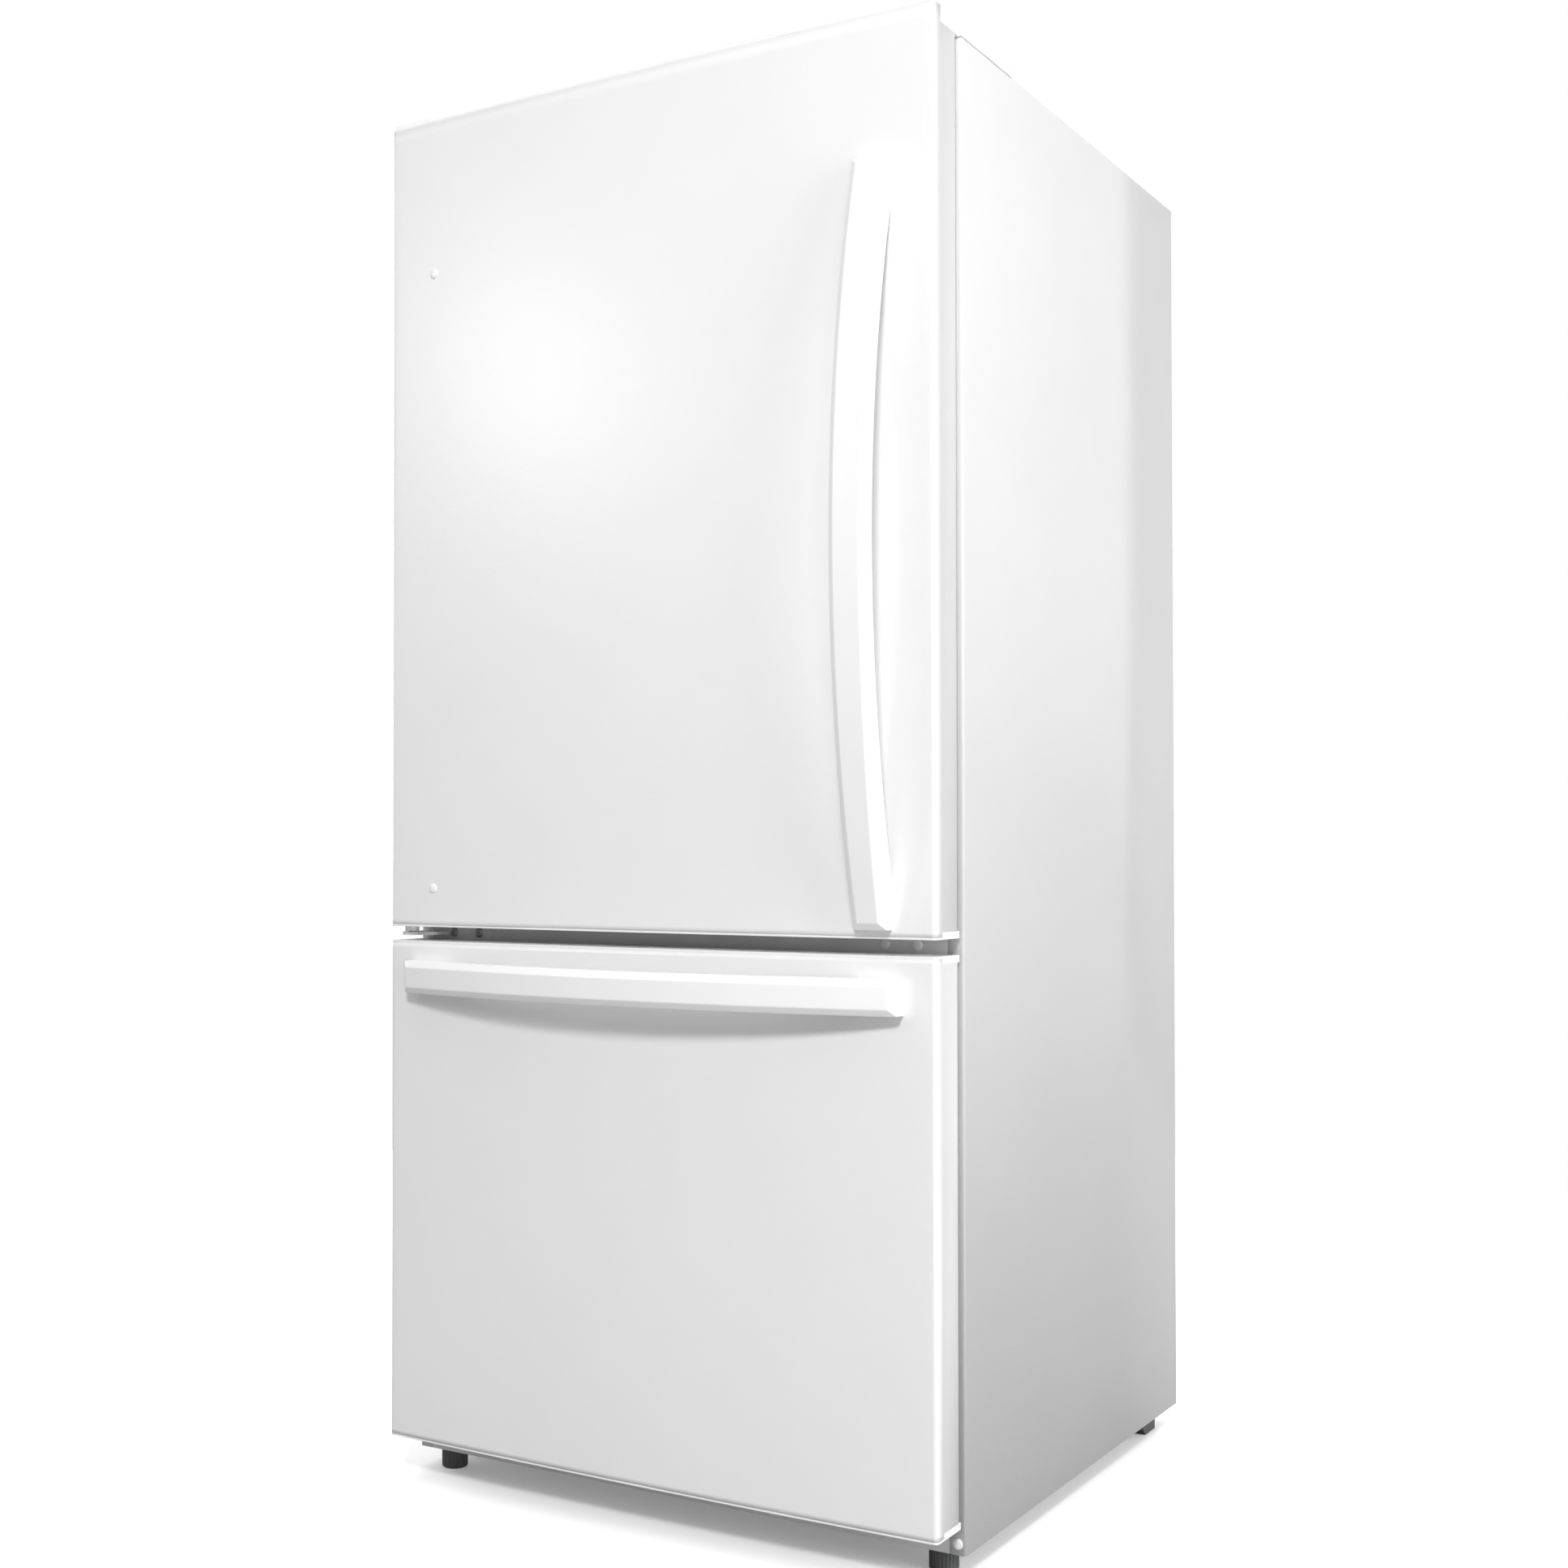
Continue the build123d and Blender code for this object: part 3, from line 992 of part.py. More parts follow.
def thermostat_knob():
    """Knob that sets the temperature, on its shaft in front of the housing."""
    back = HOUSING_FRONT - KNOB_GAP
    front = back - KNOB_HEIGHT
    body = rod(KNOB_RADIUS, (KNOB_X, front, KNOB_Z), (KNOB_X, back, KNOB_Z))
    body = chamfer(body.edges().sort_by(Axis.Y)[0], KNOB_CHAMFER)
    for side in (-1, 1):
        x = KNOB_X + side * (KNOB_GRIP / 2 + KNOB_RADIUS)
        body -= block(x - KNOB_RADIUS, x + KNOB_RADIUS, front - SHEET, front + KNOB_HEIGHT / 2,
                      KNOB_Z - 2 * KNOB_RADIUS, KNOB_Z + 2 * KNOB_RADIUS)
    return body - rod(KNOB_SHAFT_RADIUS + SHAFT_CLEARANCE,
                      (KNOB_X, HOUSING_FRONT - KNOB_HEIGHT / 2 - KNOB_GAP, KNOB_Z),
                      (KNOB_X, HOUSING_FRONT, KNOB_Z))


# ---- door and drawer fronts -------------------------------------------------------------
def front_plan(inset):
    """Plan of a door front: a crowned face between rounded edges, flat at the back."""
    half = HALF_DOOR - inset
    radius = DOOR_EDGE_RADIUS - inset
    face_y = DOOR_EDGE_FRONT + inset
    crown = ThreePointArc((-half, face_y), (0, face_y - DOOR_CROWN), (half, face_y))
    rest = Polyline((half, face_y), (half, DOOR_BACK), (-half, DOOR_BACK), (-half, face_y))
    plan = make_face([crown, rest])
    return fillet(plan.vertices().sort_by(Axis.Y)[:2], radius)


def front_form(inset, bottom, top):
    """A door front's plan drawn up between two heights."""
    return Pos(0, 0, bottom) * extrude(front_plan(inset), top - bottom)


def front_skin(bottom, top, step):
    """Steel skin of a front; its sides stop under the thicker side lips of the caps."""
    skin = front_form(0, bottom + CAP_LIP, top - CAP_LIP)
    back_sheet = block(-DOOR_WIDTH, DOOR_WIDTH, DOOR_BACK - DOOR_SHEET, 0, bottom, top)
    skin -= front_form(DOOR_SHEET, bottom, top) - back_sheet
    skin -= block(-LINER_SHEET_HALF, LINER_SHEET_HALF, DOOR_BACK - 2 * DOOR_SHEET, 0, bottom, top)
    rear = DOOR_EDGE_FRONT + CAP_FRONT_LAND
    skin -= block(-DOOR_WIDTH, DOOR_WIDTH, rear, 0, top - step - CAP_SIDE_LIP, top)
    skin -= block(-DOOR_WIDTH, DOOR_WIDTH, rear, 0, bottom, bottom + CAP_SIDE_LIP)
    return skin.solids().sort_by(SortBy.VOLUME)[-1]


def side_tails(low, high):
    """Thin ends of a cap's side lips, over the gasket gap at both sides."""
    tail = block(HALF_DOOR - CAP_TAIL_WIDTH, HALF_DOOR, DOOR_BACK, -CAP_TAIL, low, high)
    return tail + mirrored(tail)


def cap(bottom, top, step, upper):
    """Moulded end cap: a thin lip over the skin's front and a thick one round the rear."""
    rear = DOOR_EDGE_FRONT + CAP_FRONT_LAND
    if upper:
        low, high = top - step - CAP_SIDE_LIP, top
        lip_low, lip_high = low, top - step
        body = front_form(0, low, high)
        body -= block(-DOOR_WIDTH, DOOR_WIDTH, rear, CUT, top - step, top + CUT)
        skin_space = front_form(0, low - CUT, top - CAP_LIP)
        skin_space -= front_form(DOOR_SHEET, low - CUT, top)
        body -= skin_space - block(-DOOR_WIDTH, DOOR_WIDTH, rear, CUT, low - CUT, top)
    else:
        low, high = bottom, bottom + CAP_SIDE_LIP
        lip_low, lip_high = low, high
        body = front_form(0, low, high)
        skin_space = front_form(0, bottom + CAP_LIP, high + CUT)
        skin_space -= front_form(DOOR_SHEET, bottom, high + 2 * CUT)
        body -= skin_space - block(-DOOR_WIDTH, DOOR_WIDTH, rear, CUT, low, high + 2 * CUT)
    return body + side_tails(lip_low, lip_high)


def pin_hole(low, high):
    """Bore in a cap for a hinge pin."""
    return rod(PIN_RADIUS + PIN_CLEARANCE, (HINGE_X, HINGE_Y, low), (HINGE_X, HINGE_Y, high))


def hinge_boss(low, high):
    """Bearing boss of a cap, about the hinge axis."""
    return rod(BOSS_RADIUS, (HINGE_X, HINGE_Y, low), (HINGE_X, HINGE_Y, high))


def door_top_cap():
    """Top cap of the door, with the bearing of the upper hinge pin."""
    low = DOOR_TOP - CAP_STEP - PIN_ENGAGEMENT - CAP_LIP
    body = cap(DOOR_BOTTOM, DOOR_TOP, CAP_STEP, True)
    body += hinge_boss(low, DOOR_TOP + HINGE_RUN_GAP)
    return body - pin_hole(low + CAP_LIP, DOOR_TOP + 2 * HINGE_RUN_GAP)


def door_bottom_cap():
    """Bottom cap of the door, with the bearing that rests on the middle hinge."""
    high = DOOR_BOTTOM + PIN_ENGAGEMENT + CAP_LIP
    body = cap(DOOR_BOTTOM, DOOR_TOP, CAP_STEP, False)
    body += hinge_boss(MIDDLE_PLATE_TOP + HINGE_RUN_GAP, high)
    return body - pin_hole(MIDDLE_PLATE_TOP, high - CAP_LIP)


def door_skin():
    """Painted steel skin of the door."""
    return front_skin(DOOR_BOTTOM, DOOR_TOP, CAP_STEP)


def drawer_skin():
    """Painted steel skin of the freezer drawer's front."""
    return front_skin(DRAWER_BOTTOM, DRAWER_TOP, 0)


def drawer_end_caps():
    """Top and bottom caps of the drawer front."""
    return solids(cap(DRAWER_BOTTOM, DRAWER_TOP, 0, True), cap(DRAWER_BOTTOM, DRAWER_TOP, 0, False))


def front_liner(bottom, top, step):
    """Flat rear sheet of a door front, inside the skin's turned-in edge."""
    return block(-LINER_SHEET_HALF, LINER_SHEET_HALF, DOOR_BACK - LINER, DOOR_BACK,
                 bottom + CAP_SIDE_LIP, top - step - CAP_SIDE_LIP)


def door_bulge(inset):
    """Raised field and side walls of the door liner, or the foam inside them when inset."""
    low = FOOD_FLOOR + SHELF_RIM + inset
    high = FOOD_CEILING - SHELF_RIM - inset
    start = DOOR_BACK - LINER
    dike = block(DIKE_OUTER - DIKE_WIDTH + inset, DIKE_OUTER - inset, start, DIKE_REACH - inset,
                 low, high)
    long_edges = dike.edges().filter_by(Axis.Z).group_by(Axis.Y)[-1]
    dike = fillet(long_edges, DIKE_WIDTH / 4 - inset)
    field = block(-DIKE_OUTER + inset, DIKE_OUTER - inset, start, DOOR_BACK + SHELF_RIM - inset,
                  low, high)
    return dike + mirrored(dike) + field


def door_liner():
    """Door's vacuum-formed liner: a raised field and two side walls that hold the bins."""
    sheet = front_liner(DOOR_BOTTOM, DOOR_TOP, CAP_STEP)
    return sheet + door_bulge(0) - door_bulge(LINER)


def drawer_liner():
    """Drawer front's inner liner with a shallow raised field."""
    sheet = front_liner(DRAWER_BOTTOM, DRAWER_TOP, 0)
    half = LINER_HALF - SHELF_RIM
    field = block(-half, half, DOOR_BACK, DOOR_BACK + DRAWER_FIELD, FREEZER_FLOOR + SHELF_RIM,
                  FREEZER_CEILING - SHELF_RIM)
    return sheet + field


def front_insulation(foam, *pieces):
    """Foam that fills a door front between the pieces that enclose it."""
    for piece in pieces:
        foam -= piece
    return foam.solids().sort_by(SortBy.VOLUME)[-1]


def door_insulation():
    """Foam of the door."""
    pin_space = rod(PIN_RADIUS + PIN_CLEARANCE, (HINGE_X, HINGE_Y, DOOR_BOTTOM),
                    (HINGE_X, HINGE_Y, DOOR_BOTTOM + PIN_ENGAGEMENT))
    upper_space = rod(PIN_RADIUS + PIN_CLEARANCE, (HINGE_X, HINGE_Y, DOOR_TOP),
                      (HINGE_X, HINGE_Y, DOOR_TOP - CAP_STEP - PIN_ENGAGEMENT))
    foam = front_insulation(front_form(DOOR_SHEET, DOOR_BOTTOM, DOOR_TOP) + door_bulge(LINER),
                            door_skin(), door_liner(), door_top_cap(), door_bottom_cap())
    over_step = block(-DOOR_WIDTH, DOOR_WIDTH, DOOR_EDGE_FRONT + CAP_FRONT_LAND, CUT,
                      DOOR_TOP - CAP_STEP, DOOR_TOP + CUT)
    foam = foam - pin_space - upper_space - over_step
    return foam.solids().sort_by(SortBy.VOLUME)[-1]


def drawer_insulation():
    """Foam of the drawer front."""
    return front_insulation(front_form(DOOR_SHEET, DRAWER_BOTTOM, DRAWER_TOP), drawer_skin(),
                            drawer_liner(), *drawer_end_caps())


def gasket(bottom, top):
    """Magnetic gasket: a closed frame between a front and the cabinet."""
    outer = block(-GASKET_HALF, GASKET_HALF, DOOR_BACK, -GASKET_REST_GAP, bottom, top)
    reach = GASKET_HALF - GASKET_WIDTH
    return outer - block(-reach, reach, DOOR_BACK - SHEET, SHEET, bottom + GASKET_WIDTH,
                         top - GASKET_WIDTH)


def door_gasket():
    """Gasket of the door."""
    return gasket(DOOR_BOTTOM + GASKET_MARGIN, CABINET_TOP - GASKET_MARGIN)


def drawer_gasket():
    """Gasket of the drawer front."""
    return gasket(DRAWER_BOTTOM + GASKET_MARGIN, DRAWER_TOP - GASKET_MARGIN)


def handle(length, reach, middle_width):
    """Bowed handle along X, standing on the plane Z = 0, with a bevelled front edge."""
    half = length / 2
    span = half - HANDLE_FOOT
    under = reach - HANDLE_THICKNESS
    outer = ThreePointArc((-half, HANDLE_END_HEIGHT), (0, reach), (half, HANDLE_END_HEIGHT))
    side = [
        outer,
        Line((half, HANDLE_END_HEIGHT), (half, -HANDLE_SINK)),
        Line((half, -HANDLE_SINK), (span, -HANDLE_SINK)),
        Line((span, -HANDLE_SINK), (span, 0)),
        ThreePointArc((span, 0), (0, under), (-span, 0)),
        Line((-span, 0), (-span, -HANDLE_SINK)),
        Line((-span, -HANDLE_SINK), (-half, -HANDLE_SINK)),
        Line((-half, -HANDLE_SINK), (-half, HANDLE_END_HEIGHT)),
    ]
    blank = extrude(Plane.XZ * make_face(side), HANDLE_END_WIDTH * 2, both=True)
    end = HANDLE_END_WIDTH / 2
    middle = middle_width / 2 + HANDLE_LEAST_BOW
    outline = make_face([
        ThreePointArc((-half, end), (0, middle), (half, end)),
        Line((half, end), (half, -end)),
        ThreePointArc((half, -end), (0, -middle), (-half, -end)),
        Line((-half, -end), (-half, end)),
    ])
    body = blank & (Pos(0, 0, -2 * HANDLE_SINK) * extrude(outline, 2 * reach + 2 * HANDLE_SINK))
    front = body.faces().sort_by(Axis.Z)[-1]
    return chamfer(front.edges(), HANDLE_BEVEL_WIDTH, HANDLE_BEVEL_DEPTH, reference=front)


def door_handle():
    """Upright handle at the door's opening edge."""
    face_y = HANDLE_TOP_Y + DOOR_HANDLE_REACH
    plane = Plane(origin=(DOOR_HANDLE_X, face_y, DOOR_HANDLE_MIDDLE), x_dir=(0, 0, 1),
                  z_dir=(0, -1, 0))
    bar = plane * handle(DOOR_HANDLE_LENGTH, DOOR_HANDLE_REACH, DOOR_HANDLE_MID_WIDTH)
    return bar - front_form(0, DOOR_BOTTOM, DOOR_TOP)


def drawer_handle():
    """Level handle near the drawer front's top edge."""
    middle_z = DRAWER_TOP - DRAWER_HANDLE_DROP
    plane = Plane(origin=(0, DOOR_EDGE_FRONT - DOOR_CROWN, middle_z), x_dir=(1, 0, 0),
                  z_dir=(0, -1, 0))
    bar = plane * handle(DRAWER_HANDLE_LENGTH, DRAWER_HANDLE_REACH, DRAWER_HANDLE_MID_WIDTH)
    return bar - front_form(0, DRAWER_BOTTOM, DRAWER_TOP)


def door_plugs():
    """Two domed plugs in the handle holes of the other opening side."""
    plugs = []
    y = DOOR_EDGE_FRONT - DOOR_CROWN * (1 - (DOOR_PLUG_X / HALF_DOOR) ** 2)
    for side in (-1, 1):
        z = DOOR_HANDLE_MIDDLE + PLUG_RAISE + side * (DOOR_HANDLE_LENGTH / 2 - HANDLE_SCREW_INSET)
        dome = rod(DOOR_PLUG_RADIUS, (DOOR_PLUG_X, y - DOOR_PLUG_DOME, z), (DOOR_PLUG_X, 0, z))
        dome = fillet(dome.edges().sort_by(Axis.Y)[0], DOOR_PLUG_ROUND)
        plugs.append(dome - front_form(0, DOOR_BOTTOM, DOOR_TOP)
                     - block(-DOOR_WIDTH, DOOR_WIDTH, DOOR_BACK, CUT, DOOR_BOTTOM, DOOR_TOP))
    return solids(*plugs)


# ---- inside the door --------------------------------------------------------------------
def door_bin(left, right, low, height, reach):
    """One open bin between the door's side walls."""
    back = DOOR_BACK + SHELF_RIM
    tub = block(left, right, back, reach, low, low + height)
    front_edges = tub.edges().filter_by(Axis.Z).group_by(Axis.Y)[-1]
    tub = fillet(front_edges, 2 * BIN_WALL)
    return tub - block(left + BIN_WALL, right - BIN_WALL, back + BIN_WALL, reach - BIN_WALL,
                       low + BIN_WALL, low + height + CUT)


def door_bins():
    """Three open bins and the dairy bin, whose lid hangs on two ears."""
    bins = [door_bin(-BIN_HALF, BIN_HALF, FOOD_FLOOR + lift, BIN_HEIGHT, BIN_REACH)
            for lift in BIN_LIFTS]
    dairy = door_bin(DAIRY_LEFT, BIN_HALF, FOOD_FLOOR + DAIRY_LIFT, DAIRY_HEIGHT, DAIRY_REACH)
    hole_y, hole_z = dairy_axis()
    ears = []
    for x in (DAIRY_LEFT, BIN_HALF - 2 * BIN_WALL):
        ears.append(block(x, x + 2 * BIN_WALL, DOOR_BACK + SHELF_RIM, hole_y + 3 * LID_PIN_RADIUS,
                          DAIRY_TOP - BIN_WALL, hole_z + 3 * LID_PIN_RADIUS))
    for ear in ears:
        dairy += ear
    dairy -= rod(LID_PIN_RADIUS + SHAFT_CLEARANCE, (DAIRY_LEFT - SHEET, hole_y, hole_z),
                 (BIN_HALF + SHEET, hole_y, hole_z))
    return solids(*bins, dairy)


def dairy_axis():
    """Y and Z of the dairy lid's hinge axis."""
    return DOOR_BACK + SHELF_RIM + 4 * LID_PIN_RADIUS, DAIRY_TOP + 4 * LID_PIN_RADIUS


def dairy_lid():
    """Clear lid that tips up over the dairy bin, on two pins."""
    hole_y, hole_z = dairy_axis()
    left = DAIRY_LEFT + 2 * BIN_WALL + LID_GAP
    right = BIN_HALF - 2 * BIN_WALL - LID_GAP
    radius = 2 * LID_PIN_RADIUS
    low = hole_z - radius
    roll = rod(radius, (left, hole_y, hole_z), (right, hole_y, hole_z))
    sheet = block(left, right, hole_y, DAIRY_REACH, low, low + LID_SHEET)
    pins = rod(LID_PIN_RADIUS, (DAIRY_LEFT, hole_y, hole_z), (BIN_HALF, hole_y, hole_z))
    return roll + sheet + pins


# ---- drawer's inside --------------------------------------------------------------------
def rail_bars(step, length, front):
    """A pair of slide members, the given number of steps in from the liner."""
    outer = LINER_HALF - step * RAIL_STEP
    bar = block(outer - RAIL_MEMBER, outer, front, front + length, RAIL_BOTTOM, RAIL_TOP)
    lip = RAIL_HEIGHT * RAIL_LIP_SHARE
    groove = block(outer - RAIL_MEMBER - SHEET, outer - RAIL_MEMBER * RAIL_WEB_SHARE,
                   front - SHEET, front + length + SHEET, RAIL_BOTTOM + lip, RAIL_TOP - lip)
    bar -= groove
    return solids(bar, mirrored(bar))


def slide_rails_fixed():
    """Outer slide members, screwed to the freezer's side walls."""
    return rail_bars(0, RAIL_LENGTH, RAIL_FRONT)


def slide_rails_middle():
    """Middle slide members, which travel half as far as the drawer."""
    return rail_bars(1, RAIL_LENGTH, RAIL_FRONT)


def slide_rails_drawer():
    """Inner slide members, fixed to the back of the drawer front."""
    front = DOOR_BACK + DRAWER_FIELD
    return rail_bars(2, RAIL_LENGTH + RAIL_FRONT - front, front)


def freezer_basket():
    """Deep basket that hangs on the drawer's slide members by its flanges."""
    front = RAIL_FRONT
    tub = block(-BASKET_HALF, BASKET_HALF, front, BASKET_BACK, BASKET_BOTTOM, BASKET_TOP)
    tub -= block(-BASKET_HALF + BASKET_WALL, BASKET_HALF - BASKET_WALL, front + BASKET_WALL,
                 BASKET_BACK - BASKET_WALL, BASKET_BOTTOM + BASKET_WALL, BASKET_TOP + CUT)
    reach = LINER_HALF - 2 * RAIL_STEP
    flange = block(BASKET_HALF - BASKET_WALL / 2, reach, front, BASKET_BACK, RAIL_TOP,
                   RAIL_TOP + BASKET_FLANGE)
    return tub + flange + mirrored(flange)


def upper_tray():
    """Half-depth tray inside the basket; its ledges slide along the basket's top edges."""
    half = BASKET_HALF - TRAY_SIDE_GAP
    front = RAIL_FRONT + TRAY_FRONT
    low = BASKET_TOP - TRAY_HEIGHT
    high = BASKET_TOP + SLIDE_GAP + TRAY_LEDGE
    tub = block(-half, half, front, front + TRAY_DEPTH, low, high)
    tub += block(-BASKET_HALF, BASKET_HALF, front, front + TRAY_DEPTH, high - TRAY_LEDGE, high)
    return tub - block(-half + TRAY_WALL, half - TRAY_WALL, front + TRAY_WALL,
                       front + TRAY_DEPTH - TRAY_WALL, low + TRAY_WALL, high + CUT)


# ---- feet -------------------------------------------------------------------------------
def levelling_foot(side):
    """Screw foot: a ribbed pad under a threaded stem that runs up through the base's nut."""
    x = side * FOOT_X
    pad = rod(FOOT_RADIUS, (x, FOOT_Y, 0), (x, FOOT_Y, FOOT_PAD_HEIGHT))
    pad = fillet(pad.edges().sort_by(Axis.Z)[0], FOOT_EDGE_RADIUS)
    for index in range(FOOT_RIBS):
        angle = radians(360 * index / FOOT_RIBS)
        rib_x = x + FOOT_RADIUS * cos(angle)
        rib_y = FOOT_Y + FOOT_RADIUS * sin(angle)
        pad -= rod(FOOT_RIB_RADIUS, (rib_x, rib_y, FOOT_EDGE_RADIUS * 2),
                   (rib_x, rib_y, FOOT_PAD_HEIGHT + SHEET))
    return pad + rod(STEM_RADIUS, (x, FOOT_Y, FOOT_PAD_HEIGHT / 2), (x, FOOT_Y, STEM_TOP))


def rear_skids():
    """Two fixed rear feet under the machine compartment."""
    outer = HALF_WIDTH - SKID_INSET
    back = CABINET_DEPTH - SKID_BACK
    skid = block(outer - SKID_WIDTH, outer, back - SKID_DEPTH, back, 0, FLOOR_GAP)
    front_edge = skid.edges().filter_by(Axis.X).group_by(Axis.Z)[0].sort_by(Axis.Y)[0]
    skid = chamfer(front_edge, SKID_CHAMFER)
    return solids(skid, mirrored(skid))


# ---- write every node -------------------------------------------------------------------
NODES = {
    "cabinet_wrapper": cabinet_wrapper, "back_panel": back_panel,
    "cabinet_insulation": cabinet_insulation, "fresh_food_liner": fresh_food_liner,
    "freezer_liner": freezer_liner, "base_frame": base_frame, "centre_rail": centre_rail,
    "hole_plugs": hole_plugs, "top_hinge": top_hinge, "middle_hinge": middle_hinge,
    "hinge_screws": hinge_screws, "top_cover": top_cover,
    "condenser_fan_blade": condenser_fan_blade, "condenser_fan_motor": condenser_fan_motor,
    "condenser": condenser, "drain_pan": drain_pan, "compressor": compressor,
    "compressor_grommets": compressor_grommets, "refrigerant_lines": refrigerant_lines,
    "machine_cover": machine_cover, "mains_inlet": mains_inlet, "evaporator": evaporator,
    "evaporator_fan_motor": evaporator_fan_motor,
    "evaporator_fan_blade": evaporator_fan_blade, "freezer_back_panel": freezer_back_panel,
    "air_tower": air_tower, "shelf_ladders": shelf_ladders, "shelf_frames": shelf_frames,
    "shelf_glass": shelf_glass, "crisper_cover": crisper_cover, "crisper_frame": crisper_frame,
    "crisper_left": lambda: crisper(-1), "crisper_right": lambda: crisper(1),
    "control_housing": control_housing, "light_lens": light_lens,
    "thermostat_knob": thermostat_knob, "door_skin": door_skin, "door_top_cap": door_top_cap,
    "door_bottom_cap": door_bottom_cap, "door_insulation": door_insulation,
    "door_liner": door_liner, "door_gasket": door_gasket, "door_handle": door_handle,
    "door_plugs": door_plugs, "door_bins": door_bins, "dairy_lid": dairy_lid,
    "drawer_skin": drawer_skin, "drawer_end_caps": drawer_end_caps,
    "drawer_insulation": drawer_insulation, "drawer_liner": drawer_liner,
    "drawer_gasket": drawer_gasket, "drawer_handle": drawer_handle,
    "slide_rails_fixed": slide_rails_fixed, "slide_rails_middle": slide_rails_middle,
    "slide_rails_drawer": slide_rails_drawer, "freezer_basket": freezer_basket,
    "upper_tray": upper_tray, "front_foot_left": lambda: levelling_foot(-1),
    "front_foot_right": lambda: levelling_foot(1), "rear_skids": rear_skids,
}

os.makedirs("parts", exist_ok=True)
for node, make in NODES.items():
    save(node, make())
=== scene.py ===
from math import cos, pi, radians, sin, sqrt

import bmesh
import bpy
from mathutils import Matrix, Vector


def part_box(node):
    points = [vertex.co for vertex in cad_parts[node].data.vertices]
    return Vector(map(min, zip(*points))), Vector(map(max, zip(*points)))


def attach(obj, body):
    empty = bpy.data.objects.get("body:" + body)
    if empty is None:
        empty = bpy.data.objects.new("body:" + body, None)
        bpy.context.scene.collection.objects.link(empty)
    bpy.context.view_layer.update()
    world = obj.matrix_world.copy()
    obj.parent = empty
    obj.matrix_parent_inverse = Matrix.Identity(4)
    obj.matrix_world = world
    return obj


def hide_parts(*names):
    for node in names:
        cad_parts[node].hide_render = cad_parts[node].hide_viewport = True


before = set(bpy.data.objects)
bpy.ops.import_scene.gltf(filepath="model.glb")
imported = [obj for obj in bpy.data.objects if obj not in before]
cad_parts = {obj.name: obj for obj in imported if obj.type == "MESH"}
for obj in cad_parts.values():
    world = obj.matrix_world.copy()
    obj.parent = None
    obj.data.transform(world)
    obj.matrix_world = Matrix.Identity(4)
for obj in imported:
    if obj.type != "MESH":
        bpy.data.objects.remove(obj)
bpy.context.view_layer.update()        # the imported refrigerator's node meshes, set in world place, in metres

MM = 0.001

# ---- Studio ------------------------------------------------------------------------------
# A pale floor under a white room. A small key light stands high in front, a broad soft box lights
# the right side, and weaker ones fill the front's left and foot; three more stand behind and on
# the left. The camera stands about 2.6 m away, low, to the right of the door.
CAMERA_AT = Vector((1.2663, -2.3235, 0.795))
CAMERA_TURN = radians(32.76)
CAMERA_TILT = radians(0.97)
CAMERA_LENS = 46.13       # mm, on a sensor of the width below
CAMERA_SENSOR = 36.0
CAMERA_SHIFT = (0.0914, 0.0187)
ROOM_LEVEL = 0.15
ROOM_OVERHEAD = 1.3
# name, place, target, width in metres, power in watts, mirrored in glossy faces
SOFT_BOXES = (
    ("key_box", (1.35, -3.0, 2.6), (0.0, -0.36, 1.0), 0.5, 67, True),
    ("side_box", (5.0, -0.6, 1.7), (0.37, 0.1, 0.7), 3.8, 170, True),
    ("glow_box", (-1.96, -2.72, 2.05), (-0.2, -0.36, 1.35), 0.45, 12, True),
    ("fill_box", (2.0, -2.7, 0.5), (0.37, -0.3, 0.5), 0.6, 8, False),
    ("low_box", (1.9, 4.4, 0.7), (0.37, 0.6, 0.5), 1.6, 85, False),
    ("back_box", (-1.6, 4.4, 2.0), (-0.1, 0.4, 0.8), 2.6, 90, True),
    ("left_box", (-4.4, 1.0, 1.8), (-0.37, 0.1, 0.8), 2.6, 60, True))
FLOOR_RADIUS = 2.8
FLOOR_SIDES = 128
FLOOR_GLOW = 0.22         # lifts the paper to white, as the lights under a lit table do


def linear(hex_colour):
    """An sRGB hex colour as linear red, green, blue and alpha."""
    channels = [int(hex_colour[i:i + 2], 16) / 255 for i in (0, 2, 4)]
    return [c / 12.92 if c <= 0.04045 else ((c + 0.055) / 1.055) ** 2.4 for c in channels] + [1.0]


def add(tree, kind, settings=None, **inputs):
    """Add one node; inputs are values or other nodes' sockets, by name with _ for a space."""
    made = tree.nodes.new(kind)
    for key, value in (settings or {}).items():
        setattr(made, key, value)
    for key, value in inputs.items():
        socket = made.inputs[int(key[1:]) if key[1:].isdigit() else key.replace("_", " ")]
        if isinstance(value, bpy.types.NodeSocket):
            tree.links.new(value, socket)
        else:
            socket.default_value = value
    return made


def new_surface(name):
    """An empty material with a shader and the Object coordinates that its patterns use."""
    material = bpy.data.materials.new(name)
    material.use_nodes = True
    tree = material.node_tree
    tree.nodes.clear()
    shader = add(tree, "ShaderNodeBsdfPrincipled")
    add(tree, "ShaderNodeOutputMaterial", Surface=shader.outputs[0])
    place = add(tree, "ShaderNodeTexCoord").outputs["Object"]
    return material, tree, shader, place


def wire(tree, shader, tone, rough=None, bump=None):
    """Link a colour mix, and a roughness and a bump where there are any, to the shader."""
    tree.links.new(tone.outputs[2], shader.inputs["Base Color"])
    if rough:
        tree.links.new(rough.outputs[0], shader.inputs["Roughness"])
    if bump:
        tree.links.new(bump.outputs[0], shader.inputs["Normal"])


